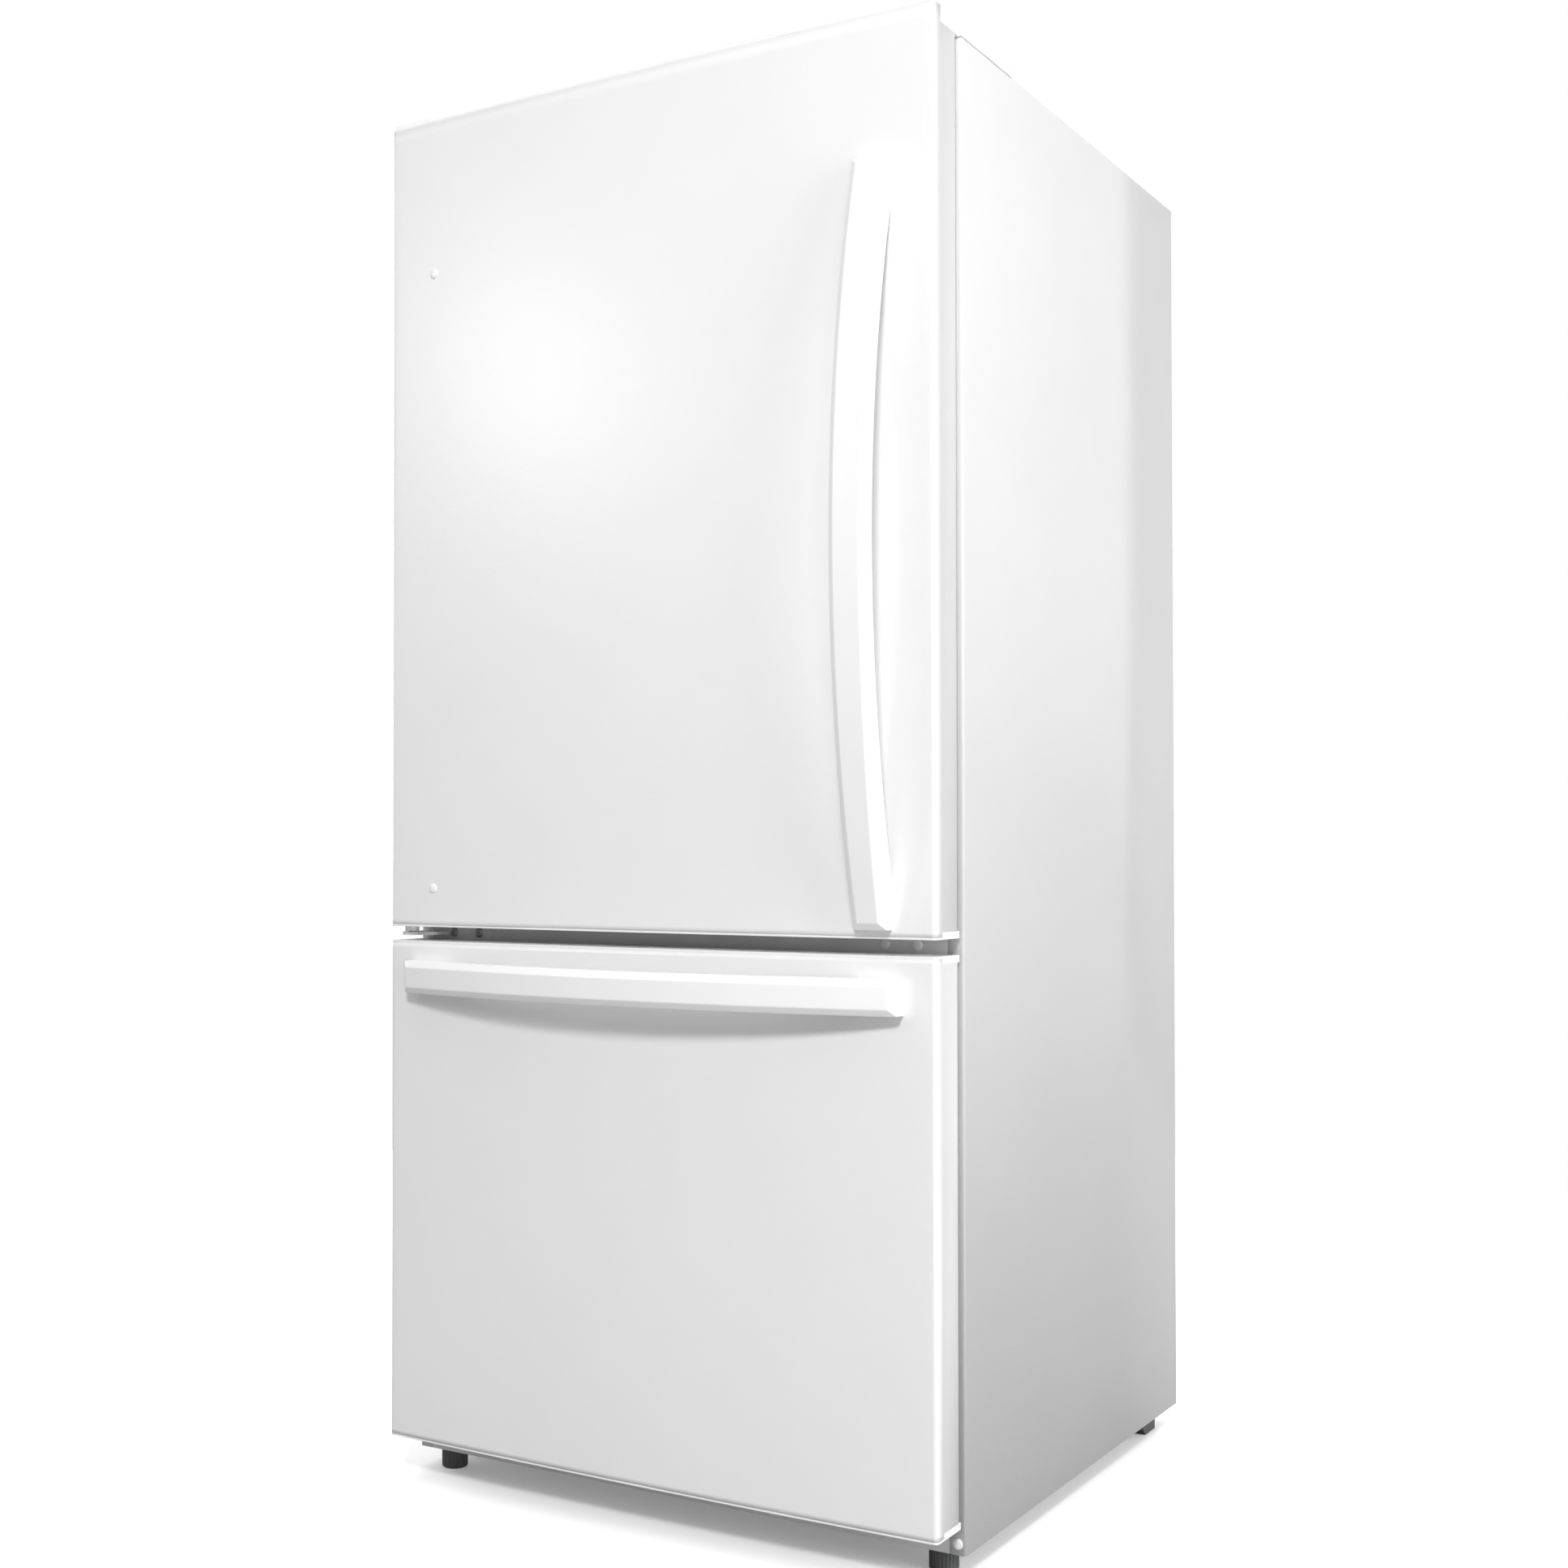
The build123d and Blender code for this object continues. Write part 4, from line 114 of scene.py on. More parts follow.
def studio_floor():
    """Pale matt floor paper with a faint fibre tone; it throws back little light, as if flagged."""
    material, tree, shader, place = new_surface("floor_paper")
    fibre = add(tree, "ShaderNodeTexNoise", Vector=place, Scale=220.0, Detail=3.0)
    paper = add(tree, "ShaderNodeMix", {"data_type": "RGBA"}, Factor=fibre.outputs["Fac"],
                _6=linear("FAFAFA"), _7=linear("FEFEFE"))
    seen = add(tree, "ShaderNodeLightPath").outputs["Is Camera Ray"]
    tone = add(tree, "ShaderNodeMix", {"data_type": "RGBA"}, Factor=seen, _6=linear("9A9A9A"),
               _7=paper.outputs[2])
    shine = add(tree, "ShaderNodeMath", {"operation": "MULTIPLY"}, _0=seen, _1=FLOOR_GLOW)
    wire(tree, shader, tone)
    tree.links.new(shine.outputs[0], shader.inputs["Emission Strength"])
    shader.inputs["Emission Color"].default_value = (1, 1, 1, 1)
    shader.inputs["Roughness"].default_value = 0.85
    mesh = bpy.data.meshes.new("studio_floor")
    turns = [2 * pi * step / FLOOR_SIDES for step in range(FLOOR_SIDES)]
    rim = [(FLOOR_RADIUS * cos(turn), FLOOR_RADIUS * sin(turn), 0) for turn in turns]
    mesh.from_pydata(rim, [], [tuple(range(FLOOR_SIDES))])
    mesh.materials.append(material)
    floor = bpy.data.objects.new("studio_floor", mesh)
    bpy.context.scene.collection.objects.link(floor)


def soft_box(name, place, target, width, power, mirrored):
    """A square area light that faces a point; glossy faces show it only if it is mirrored."""
    data = bpy.data.lights.new(name, "AREA")
    data.shape = "SQUARE"
    data.size = width
    data.energy = power
    lamp = bpy.data.objects.new(name, data)
    lamp.visible_glossy = mirrored
    lamp.location = place
    lamp.rotation_euler = (Vector(target) - Vector(place)).to_track_quat("-Z", "Y").to_euler()
    bpy.context.scene.collection.objects.link(lamp)


def studio_room(level, overhead):
    """White surroundings, brightest overhead like a lit ceiling, and plain white to the eye."""
    world = bpy.data.worlds.new("white_room")
    world.use_nodes = True
    tree = world.node_tree
    tree.nodes.clear()
    aim = add(tree, "ShaderNodeTexCoord").outputs["Generated"]
    height = add(tree, "ShaderNodeSeparateXYZ", Vector=aim).outputs["Z"]
    upward = add(tree, "ShaderNodeMath", {"operation": "MAXIMUM"}, _0=height, _1=0.0)
    rise = add(tree, "ShaderNodeMath", {"operation": "POWER"}, _0=upward.outputs[0], _1=4.0)
    glow = add(tree, "ShaderNodeMapRange", Value=rise.outputs[0], To_Min=level,
               To_Max=level + overhead)
    seen = add(tree, "ShaderNodeLightPath").outputs["Is Camera Ray"]
    strength = add(tree, "ShaderNodeMix", _0=seen, _2=glow.outputs[0], _3=1.0)
    white = add(tree, "ShaderNodeBackground", Color=(1, 1, 1, 1), Strength=strength.outputs[0])
    add(tree, "ShaderNodeOutputWorld", Surface=white.outputs[0])
    bpy.context.scene.world = world


studio_floor()
studio_room(ROOM_LEVEL, ROOM_OVERHEAD)
for box in SOFT_BOXES:
    soft_box(*box)
camera_data = bpy.data.cameras.new("studio_camera")
camera_data.sensor_width = CAMERA_SENSOR
camera_data.lens = CAMERA_LENS
camera_data.shift_x, camera_data.shift_y = CAMERA_SHIFT
camera = bpy.data.objects.new("studio_camera", camera_data)
camera.location = CAMERA_AT
camera.rotation_euler = (pi / 2 + CAMERA_TILT, 0, CAMERA_TURN)
bpy.context.scene.collection.objects.link(camera)
bpy.context.scene.camera = camera
bpy.context.scene.view_settings.view_transform = "Standard"

# ---- Cabinet sheet -----------------------------------------------------------------------
# One sheet of coil-coated steel, embossed with a fine pebble, folded over a form into both
# sides and the top. Its front edge turns inwards as the flange that the gasket pulls against.
SHELL_LOW, SHELL_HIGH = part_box("cabinet_wrapper")
SHEET = 1.0 * MM
FLANGE = 19.0 * MM
FOLD = 3.0 * MM
ARC_STEPS = 6


def enamelled_steel(name, colour, pebble, relief, gloss):
    """White paint baked on embossed steel: pebbles catch soft light, and a faint waviness
    bends long reflections, as on any large panel. pebble is the pebbles' width in metres."""
    material, tree, shader, place = new_surface(name)
    pebbles = add(tree, "ShaderNodeTexVoronoi", {"feature": "SMOOTH_F1"}, Vector=place,
                  Scale=1 / pebble, Smoothness=1.0)
    waves = add(tree, "ShaderNodeTexNoise", Vector=place, Scale=3.5, Detail=1.0)
    cloud = add(tree, "ShaderNodeTexNoise", Vector=place, Scale=9.0, Detail=4.0)
    dark = [c * 0.965 for c in linear(colour)[:3]] + [1.0]
    tone = add(tree, "ShaderNodeMix", {"data_type": "RGBA"}, Factor=cloud.outputs["Fac"],
               _6=dark, _7=linear(colour))
    rough = add(tree, "ShaderNodeMapRange", Value=cloud.outputs["Fac"], To_Min=gloss,
                To_Max=gloss + 0.06)
    broad = add(tree, "ShaderNodeBump", Height=waves.outputs["Fac"], Strength=0.08, Distance=0.004)
    fine = add(tree, "ShaderNodeBump", Height=pebbles.outputs["Distance"], Strength=relief,
               Distance=pebble * 0.25, Normal=broad.outputs[0])
    wire(tree, shader, tone, rough, fine)
    shader.inputs["IOR"].default_value = 1.5
    shader.inputs["Coat Weight"].default_value = 0.15
    shader.inputs["Coat Roughness"].default_value = 0.25
    return material


def finished(form, name):
    """The bmesh as a new mesh."""
    mesh = bpy.data.meshes.new(name)
    form.to_mesh(mesh)
    form.free()
    return mesh


def mesh_piece(name, mesh, material, body, replaced=(), smooth=32.0):
    """A finished mesh as a piece: smooth faces, sharp folds, on its body and with its material."""
    mesh.materials.clear()
    mesh.materials.append(material)
    mesh.polygons.foreach_set("use_smooth", [True] * len(mesh.polygons))
    mesh.set_sharp_from_angle(angle=radians(smooth))
    made = bpy.data.objects.new(name, mesh)
    bpy.context.scene.collection.objects.link(made)
    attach(made, body)
    if replaced:
        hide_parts(*replaced)
    return made


def skin_mesh(name, rows, closed=False):
    """A sheet from rows of points, each row joined to the next; doubles are merged."""
    form = bmesh.new()
    grid = [[form.verts.new(point) for point in row] for row in rows]
    for low, high in zip(grid, grid[1:]):
        pairs = list(zip(low, low[1:], high[1:], high))
        if closed:
            pairs.append((low[-1], low[0], high[0], high[-1]))
        for corners in pairs:
            form.faces.new(corners)
    bmesh.ops.remove_doubles(form, verts=form.verts, dist=1e-6)
    return finished(form, name)


def thicken(made, thickness, offset):
    """Give a sheet its wall with a Solidify modifier."""
    wall = made.modifiers.new("wall", "SOLIDIFY")
    wall.thickness = thickness
    wall.offset = offset
    wall.use_even_offset = True


def arch(inset, y):
    """The cabinet's front view, bottom left over the top to bottom right, inset by the fold."""
    half = SHELL_HIGH.x - inset
    top = SHELL_HIGH.z - inset
    radius = max(FOLD - inset, 0.0)
    points = [Vector((-half, y, SHELL_LOW.z))]
    for step in range(ARC_STEPS + 1):
        turn = pi / 2 * step / ARC_STEPS
        points.append(Vector((-half + radius * (1 - cos(turn)), y, top - radius * (1 - sin(turn)))))
    mirror = [Vector((-point.x, y, point.z)) for point in reversed(points)]
    return points + mirror


def cabinet_shell():
    """Both sides and the top in one sheet, with the flange turned in at the front."""
    front = SHELL_LOW.y
    rows = [arch(FLANGE, front)]
    for step in range(ARC_STEPS + 1):
        turn = pi / 2 * step / ARC_STEPS
        rows.append(arch(FOLD * (1 - sin(turn)), front + FOLD * (1 - cos(turn))))
    for share in (0.35, 0.7, 1.0):
        rows.append(arch(0, front + FOLD + (SHELL_HIGH.y - front - FOLD) * share))
    mesh = skin_mesh("cabinet_shell", rows)
    steel = enamelled_steel("embossed_white_steel", "ECECEC", 1.6 * MM, 0.22, 0.36)
    made = mesh_piece("cabinet_shell", mesh, steel, "cabinet",
                      ["cabinet_wrapper"])
    thicken(made, SHEET, -1)


cabinet_shell()

# ---- Door and drawer skins ---------------------------------------------------------------
# Two pressed sheets of the same coated steel, slightly crowned across the front, rolled round
# the upright edges and turned in at the back, where the liner and the gasket hide them.
SKIN = 0.8 * MM
CROWN = 6.0 * MM
EDGE_ROLL = 5.5 * MM
RETURN = 9.0 * MM
LAND = 17.0 * MM
LIP = 2.5 * MM
SIDE_LIP = 8.0 * MM
TOP_STEP = 12.0 * MM
ROLL_STEPS = 8
CROWN_STEPS = 40
FRONT_LOW, FRONT_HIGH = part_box("door_skin")
EDGE_FRONT = FRONT_LOW.y + CROWN


def crown_y(x):
    """Front face of the crowned sheet at a distance from its middle."""
    half = FRONT_HIGH.x
    radius = (half * half + CROWN * CROWN) / (2 * CROWN)
    return FRONT_LOW.y + radius - sqrt(radius * radius - x * x)


def front_plan(inset):
    """Half plan of a front, from its middle round the rolled edge to its back."""
    half = FRONT_HIGH.x
    start = half - EDGE_ROLL
    across = [start * step / CROWN_STEPS for step in range(CROWN_STEPS)]
    points = [(x, crown_y(x) + inset) for x in across]
    roll = EDGE_ROLL - inset
    middle_y = crown_y(start) + EDGE_ROLL
    for step in range(ROLL_STEPS + 1):
        turn = pi / 2 * step / ROLL_STEPS
        points.append((start + roll * sin(turn), middle_y - roll * cos(turn)))
    return points


def skin_columns():
    """Plan of the whole skin from the left turned-in edge to the right one."""
    half = FRONT_HIGH.x
    land_y = EDGE_FRONT + LAND
    back = FRONT_HIGH.y
    right = front_plan(0) + [(half, land_y), (half, back - SKIN), (half - SKIN, back),
                             (half - RETURN, back)]
    left = [(-x, y) for x, y in reversed(right[1:])]
    return left + right, land_y


def front_skin(name, node, body, bottom, top, step):
    """One pressed skin; its front runs to the thin lips, its sides stop at the thick ones."""
    columns, land_y = skin_columns()
    bands = [bottom + LIP, bottom + SIDE_LIP, top - step - SIDE_LIP, top - LIP]
    form = bmesh.new()
    grid = [[form.verts.new((x, y, z)) for z in bands] for x, y in columns]
    for near, far, low, high in zip(columns, columns[1:], grid, grid[1:]):
        rear = max(near[1], far[1]) > land_y + 1e-6
        for band in ((1,) if rear else (0, 1, 2)):
            form.faces.new((low[band], high[band], high[band + 1], low[band + 1]))
    loose = [vertex for vertex in form.verts if not vertex.link_faces]
    bmesh.ops.delete(form, geom=loose, context="VERTS")
    made = mesh_piece(name, finished(form, name), DOOR_STEEL, body, [node])
    thicken(made, SKIN, -1)


DOOR_STEEL = enamelled_steel("embossed_white_door_steel", "EFEFEF", 1.5 * MM, 0.16, 0.30)
DRAWER_LOW, DRAWER_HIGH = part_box("drawer_skin")
front_skin("door_face", "door_skin", "door", FRONT_LOW.z - LIP, FRONT_HIGH.z + LIP, TOP_STEP)
front_skin("drawer_face", "drawer_skin", "freezer_drawer", DRAWER_LOW.z - LIP,
           DRAWER_HIGH.z + LIP, 0.0)

# ---- End caps ----------------------------------------------------------------------------
# Injection-moulded white ABS caps close the skins at the top and bottom of the door and of
# the drawer front. They are pushed in before foaming, and the door's carry the hinge bearings.
CAP_ROUND = 0.5 * MM


def moulded_plastic(name, colour, grain, relief, gloss):
    """Injection-moulded plastic: an even colour with slow flow clouding, a fine spark-eroded
    grain (its width in metres) and a soft gloss that the grain breaks up."""
    material, tree, shader, place = new_surface(name)
    flow = add(tree, "ShaderNodeTexNoise", Vector=place, Scale=14.0, Detail=3.0)
    grit = add(tree, "ShaderNodeTexNoise", Vector=place, Scale=1 / grain, Detail=2.0)
    dark = [c * 0.95 for c in linear(colour)[:3]] + [1.0]
    tone = add(tree, "ShaderNodeMix", {"data_type": "RGBA"}, Factor=flow.outputs["Fac"],
               _6=dark, _7=linear(colour))
    rough = add(tree, "ShaderNodeMapRange", Value=grit.outputs["Fac"], To_Min=gloss - 0.04,
                To_Max=gloss + 0.06)
    bump = add(tree, "ShaderNodeBump", Height=grit.outputs["Fac"], Strength=relief,
               Distance=grain * 0.5)
    wire(tree, shader, tone, rough, bump)
    shader.inputs["IOR"].default_value = 1.53
    return material


def soften(made, width, segments, corner):
    """Round every edge sharper than corner degrees with a Bevel modifier."""
    softened = made.modifiers.new("softened_edges", "BEVEL")
    softened.width = width
    softened.segments = segments
    softened.limit_method = "ANGLE"
    softened.angle_limit = radians(corner)
    softened.harden_normals = True


def rounded_copy(node, body, material, edge, corner=30.0, sunk=0.0):
    """The node's own form as one closed mesh, with every sharp edge softened. sunk moves it forwards, so that
    screws can stand on it."""
    form = bmesh.new()
    form.from_mesh(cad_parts[node].data)
    bmesh.ops.remove_doubles(form, verts=form.verts, dist=2e-6)
    bmesh.ops.translate(form, verts=form.verts, vec=(0, -sunk, 0))
    bmesh.ops.dissolve_limit(form, angle_limit=radians(0.8), verts=form.verts, edges=form.edges)
    name = node + "_form"
    made = mesh_piece(name, finished(form, name), material, body, [node],
                      smooth=corner)
    if edge:
        soften(made, edge, 2, corner)


WHITE_ABS = moulded_plastic("moulded_white_abs", "F6F6F6", 0.9 * MM, 0.05, 0.30)
for node, body in (("door_top_cap", "door"), ("door_bottom_cap", "door"),
                   ("drawer_end_caps", "freezer_drawer")):
    rounded_copy(node, body, WHITE_ABS, CAP_ROUND)

# ---- Handles -----------------------------------------------------------------------------
# Two bowed bars moulded in white ABS, each on two feet that stand on the skin, held by hidden
# screws. A bevel frames the flat front face all round; the edges are slightly rounded.
DOOR_BAR_LOW, DOOR_BAR_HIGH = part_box("door_handle")
DRAWER_BAR_LOW, DRAWER_BAR_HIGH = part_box("drawer_handle")
BAR_END_HEIGHT = 18.0 * MM
BAR_THICKNESS = 18.0 * MM
BAR_END_WIDTH = 40.0 * MM
BAR_FOOT = 54.0 * MM
BAR_BEVEL_WIDTH = 7.5 * MM
BAR_BEVEL_DEPTH = 5.7 * MM
BAR_STATIONS = 96
BAR_ROUND = 1.3 * MM
BAR_CORNER = 24.0         # degrees; sharper edges are rounded


def bow(along, half, end, middle):
    """Height of an arc over a length: end at both ends, middle in the middle."""
    rise = middle - end
    if abs(rise) < 1e-7:
        return end
    radius = (half * half + rise * rise) / (2 * rise)
    return middle - radius + sqrt(radius * radius - along * along)


def bar_section(along, half, reach, middle_width):
    """One cross-section as pairs of across and height: foot, side, bevel, and their mirror."""
    width = bow(along, half, BAR_END_WIDTH, middle_width) / 2
    top = bow(along, half, BAR_END_HEIGHT, reach)
    span = half - BAR_FOOT
    low = bow(along, span, 0.0, reach - BAR_THICKNESS) if abs(along) < span else None
    to_end = min((half - abs(along)) / BAR_BEVEL_WIDTH, 1.0)
    bevel = BAR_BEVEL_WIDTH * to_end
    front = top - BAR_BEVEL_DEPTH * (1 - to_end)
    right = [(width, low), (width, top - BAR_BEVEL_DEPTH), (width - bevel, front)]
    return right + [(-across, high) for across, high in reversed(right)]


def bowed_handle(name, node, body, half, reach, middle_width, place):
    """A bar lofted through its sections; place turns along, across and height to a point."""
    span = half - BAR_FOOT
    stations = [-half, -half + BAR_BEVEL_WIDTH, -span]
    stations += [-span + 2 * span * step / BAR_STATIONS for step in range(1, BAR_STATIONS)]
    stations += [span, half - BAR_BEVEL_WIDTH, half]
    rows = [[place(along, across, high) for across, high in
             bar_section(along, half, reach, middle_width)] for along in stations]
    form = bmesh.new()
    grid = [[form.verts.new(point) for point in row] for row in rows]
    for near, far in zip(grid, grid[1:]):
        for index in range(len(near)):
            after = (index + 1) % len(near)
            form.faces.new((near[index], near[after], far[after], far[index]))
    form.faces.new(grid[0])
    form.faces.new(list(reversed(grid[-1])))
    bmesh.ops.remove_doubles(form, verts=form.verts, dist=1e-6)
    bmesh.ops.recalc_face_normals(form, faces=form.faces)
    made = mesh_piece(name, finished(form, name), WHITE_ABS, body, [node],
                      smooth=BAR_CORNER)
    soften(made, BAR_ROUND, 3, BAR_CORNER)


def upright_place(along, across, high):
    """The door's bar stands upright; its feet follow the crowned skin."""
    middle = (DOOR_BAR_LOW + DOOR_BAR_HIGH) / 2
    x = middle.x + across
    y = crown_y(x) if high is None else DOOR_BAR_LOW.y + DOOR_REACH - high
    return Vector((x, min(y, crown_y(x)), middle.z + along))


def level_place(along, across, high):
    """The drawer's bar lies level along X."""
    middle = (DRAWER_BAR_LOW + DRAWER_BAR_HIGH) / 2
    y = crown_y(along) if high is None else DRAWER_BAR_LOW.y + DRAWER_REACH - high
    return Vector((along, min(y, crown_y(along)), middle.z - across))


DOOR_REACH = 70.0 * MM
DRAWER_REACH = 58.0 * MM
bowed_handle("door_bar", "door_handle", "door", (DOOR_BAR_HIGH.z - DOOR_BAR_LOW.z) / 2,
             DOOR_REACH, DOOR_BAR_HIGH.x - DOOR_BAR_LOW.x, upright_place)
bowed_handle("drawer_bar", "drawer_handle", "freezer_drawer",
             (DRAWER_BAR_HIGH.x - DRAWER_BAR_LOW.x) / 2, DRAWER_REACH,
             DRAWER_BAR_HIGH.z - DRAWER_BAR_LOW.z, level_place)

# ---- Plugs -------------------------------------------------------------------------------
# Small domed ABS plugs snap into spare holes: two in the door skin, where the handle would go
# on a door hung the other way round, two in the centre rail and one in the right flange.
DOOR_PLUG = 5.8 * MM
RAIL_PLUG = 6.0 * MM
DOME_RINGS = 8
DOME_SIDES = 40


def dome_plugs(name, node, body, radius, rise, places):
    """Shallow domes with a rolled rim, each at the middle of its face on the sheet."""
    form = bmesh.new()
    for centre in places:
        rings = []
        for ring in range(DOME_RINGS + 1):
            turn = pi / 2 * ring / DOME_RINGS
            reach = radius * cos(turn) if ring < DOME_RINGS else radius * 0.02
            lift = rise * sin(turn) ** 0.7
            spots = [2 * pi * k / DOME_SIDES for k in range(DOME_SIDES)]
            rings.append([form.verts.new(centre + Vector((reach * cos(spot), -lift,
                                                          reach * sin(spot)))) for spot in spots])
        for low, high in zip(rings, rings[1:]):
            for k in range(DOME_SIDES):
                after = (k + 1) % DOME_SIDES
                form.faces.new((low[k], low[after], high[after], high[k]))
        form.faces.new(rings[-1])
        form.faces.new(list(reversed(rings[0])))
    bmesh.ops.recalc_face_normals(form, faces=form.faces)
    mesh_piece(name, finished(form, name), WHITE_ABS, body, [node], smooth=50)


def node_groups(node):
    """Lowest and highest corner of each separate solid of a node, in the same order each run."""
    form = bmesh.new()
    form.from_mesh(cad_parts[node].data)
    bmesh.ops.remove_doubles(form, verts=form.verts, dist=2e-6)
    corners = []
    waiting = set(form.verts)
    while waiting:
        group, edge = set(), [next(iter(waiting))]
        while edge:
            vertex = edge.pop()
            if vertex not in group:
                group.add(vertex)
                edge += [link.other_vert(vertex) for link in vertex.link_edges]
        waiting -= group
        low = Vector(min(v.co[axis] for v in group) for axis in range(3))
        high = Vector(max(v.co[axis] for v in group) for axis in range(3))
        corners.append((low, high))
    form.free()
    return sorted(corners, key=lambda pair: tuple(pair[0]))


door_spots = [(low + high) / 2 for low, high in node_groups("door_plugs")]
dome_plugs("door_hole_plugs", "door_plugs", "door", DOOR_PLUG, 2.2 * MM,
           [Vector((spot.x, crown_y(spot.x), spot.z)) for spot in door_spots])
rail_spots = [(low + high) / 2 for low, high in node_groups("hole_plugs")]
dome_plugs("rail_hole_plugs", "hole_plugs", "cabinet", RAIL_PLUG, 1.8 * MM,
           [Vector((spot.x, SHELL_LOW.y, spot.z)) for spot in rail_spots])

# ---- Gaskets -----------------------------------------------------------------------------
# A magnetic strip inside an extruded vinyl bellows, welded at its corners into a frame and pressed into a
# groove of the liner. On the real door it folds as the door shuts and seals on the flange; here the bellows
# keeps one fixed shape.
BELLOWS = ((0.5, 0.0), (0.0, 1.2), (2.2, 2.6), (0.6, 4.0), (2.4, 5.3), (0.4, 6.2), (0.0, 7.6),
           (0.8, 9.1), (2.0, 9.5), (12.0, 9.5), (13.2, 9.1), (14.0, 7.6), (13.6, 6.2),
           (11.6, 5.3), (13.4, 4.0), (11.8, 2.6), (14.0, 1.2), (13.5, 0.0))


def soft_vinyl(name, colour):
    """Extruded plasticised vinyl: matt and slightly waxy, with fine lines along the strip."""
    material, tree, shader, place = new_surface(name)
    cloud = add(tree, "ShaderNodeTexNoise", Vector=place, Scale=40.0, Detail=3.0)
    dark = [c * 0.90 for c in linear(colour)[:3]] + [1.0]
    tone = add(tree, "ShaderNodeMix", {"data_type": "RGBA"}, Factor=cloud.outputs["Fac"],
               _6=dark, _7=linear(colour))
    bump = add(tree, "ShaderNodeBump", Height=cloud.outputs["Fac"], Strength=0.1, Distance=0.0004)
    wire(tree, shader, tone, bump=bump)
    shader.inputs["Roughness"].default_value = 0.55
    shader.inputs["Subsurface Weight"].default_value = 0.1
    shader.inputs["Subsurface Scale"].default_value = 0.002
    return material


def bellows_frame(name, node, body):
    """The bellows profile carried round a rectangle with mitred corners."""
    low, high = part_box(node)
    rows = []
    for inset, depth in BELLOWS + BELLOWS[:1]:
        near, y = inset * MM, low.y + depth * MM
        rows.append([(low.x + near, y, low.z + near), (high.x - near, y, low.z + near),
                     (high.x - near, y, high.z - near), (low.x + near, y, high.z - near)])
    mesh = skin_mesh(name, rows, closed=True)
    form = bmesh.new()
    form.from_mesh(mesh)
    bmesh.ops.recalc_face_normals(form, faces=form.faces)
    form.to_mesh(mesh)
    form.free()
    mesh_piece(name, mesh, VINYL, body, [node], smooth=50)


VINYL = soft_vinyl("soft_white_vinyl", "DCDCDC")
bellows_frame("door_bellows", "door_gasket", "door")
bellows_frame("drawer_bellows", "drawer_gasket", "freezer_drawer")

# ---- Hinges ------------------------------------------------------------------------------
# Pressed steel angles. The middle one, painted white, is screwed to the centre rail and carries
# the door's pin; the upper one, zinc-plated, is cranked down on the cabinet's top.
HINGE_SCREW = 6.0 * MM
HINGE_SCREW_RISE = 3.0 * MM


def painted_steel(name, colour):
    """Powder coat on thick pressed steel: smooth orange peel a few millimetres wide."""
    material, tree, shader, place = new_surface(name)
    peel = add(tree, "ShaderNodeTexNoise", Vector=place, Scale=420.0, Detail=1.0)
    cloud = add(tree, "ShaderNodeTexNoise", Vector=place, Scale=30.0, Detail=3.0)
    dark = [c * 0.93 for c in linear(colour)[:3]] + [1.0]
    tone = add(tree, "ShaderNodeMix", {"data_type": "RGBA"}, Factor=cloud.outputs["Fac"],
               _6=dark, _7=linear(colour))
    bump = add(tree, "ShaderNodeBump", Height=peel.outputs["Fac"], Strength=0.15, Distance=0.0006)
    wire(tree, shader, tone, bump=bump)
    shader.inputs["Roughness"].default_value = 0.32
    return material


def plated_steel(name, colour, roughness):
    """Zinc-plated steel: bright grey metal, mottled where the passivation is thicker."""
    material, tree, shader, place = new_surface(name)
    mottle = add(tree, "ShaderNodeTexNoise", Vector=place, Scale=160.0, Detail=4.0)
    dark = [c * 0.72 for c in linear(colour)[:3]] + [1.0]
    tone = add(tree, "ShaderNodeMix", {"data_type": "RGBA"}, Factor=mottle.outputs["Fac"],
               _6=dark, _7=linear(colour))
    rough = add(tree, "ShaderNodeMapRange", Value=mottle.outputs["Fac"],
                To_Min=roughness - 0.08, To_Max=roughness + 0.12)
    bump = add(tree, "ShaderNodeBump", Height=mottle.outputs["Fac"], Strength=0.08, Distance=0.0004)
    wire(tree, shader, tone, rough, bump)
    shader.inputs["Metallic"].default_value = 1.0
    return material


def turned(name, profile, base, axis, sides, notch=0.0):
    """A turned form: pairs of radius and height along an axis from base; notch cuts a cross."""
    form = bmesh.new()
    turn = axis.to_track_quat("Z", "Y").to_matrix()
    rings = []
    for radius, height in profile:
        ring = []
        for step in range(sides):
            angle = 2 * pi * step / sides
            sunk = notch if notch and step % (sides // 4) == 0 and radius < profile[0][0] / 2 else 0
            ring.append(form.verts.new(base + turn @ Vector((radius * cos(angle),
                                                             radius * sin(angle), height - sunk))))
        rings.append(ring)
    for low, high in zip(rings, rings[1:]):
        for step in range(sides):
            after = (step + 1) % sides
            form.faces.new((low[step], low[after], high[after], high[step]))
    form.faces.new(rings[-1])
    form.faces.new(list(reversed(rings[0])))
    bmesh.ops.recalc_face_normals(form, faces=form.faces)
    return finished(form, name)


def screw_head(name, base, axis, radius, rise):
    """A pan head with a cross recess."""
    profile = ((radius, 0), (radius, rise * 0.45), (radius * 0.86, rise * 0.8),
               (radius * 0.62, rise), (radius * 0.48, rise), (radius * 0.26, rise * 0.98),
               (radius * 0.04, rise * 0.5))
    return turned(name, profile, base, axis, 16, rise * 0.45)


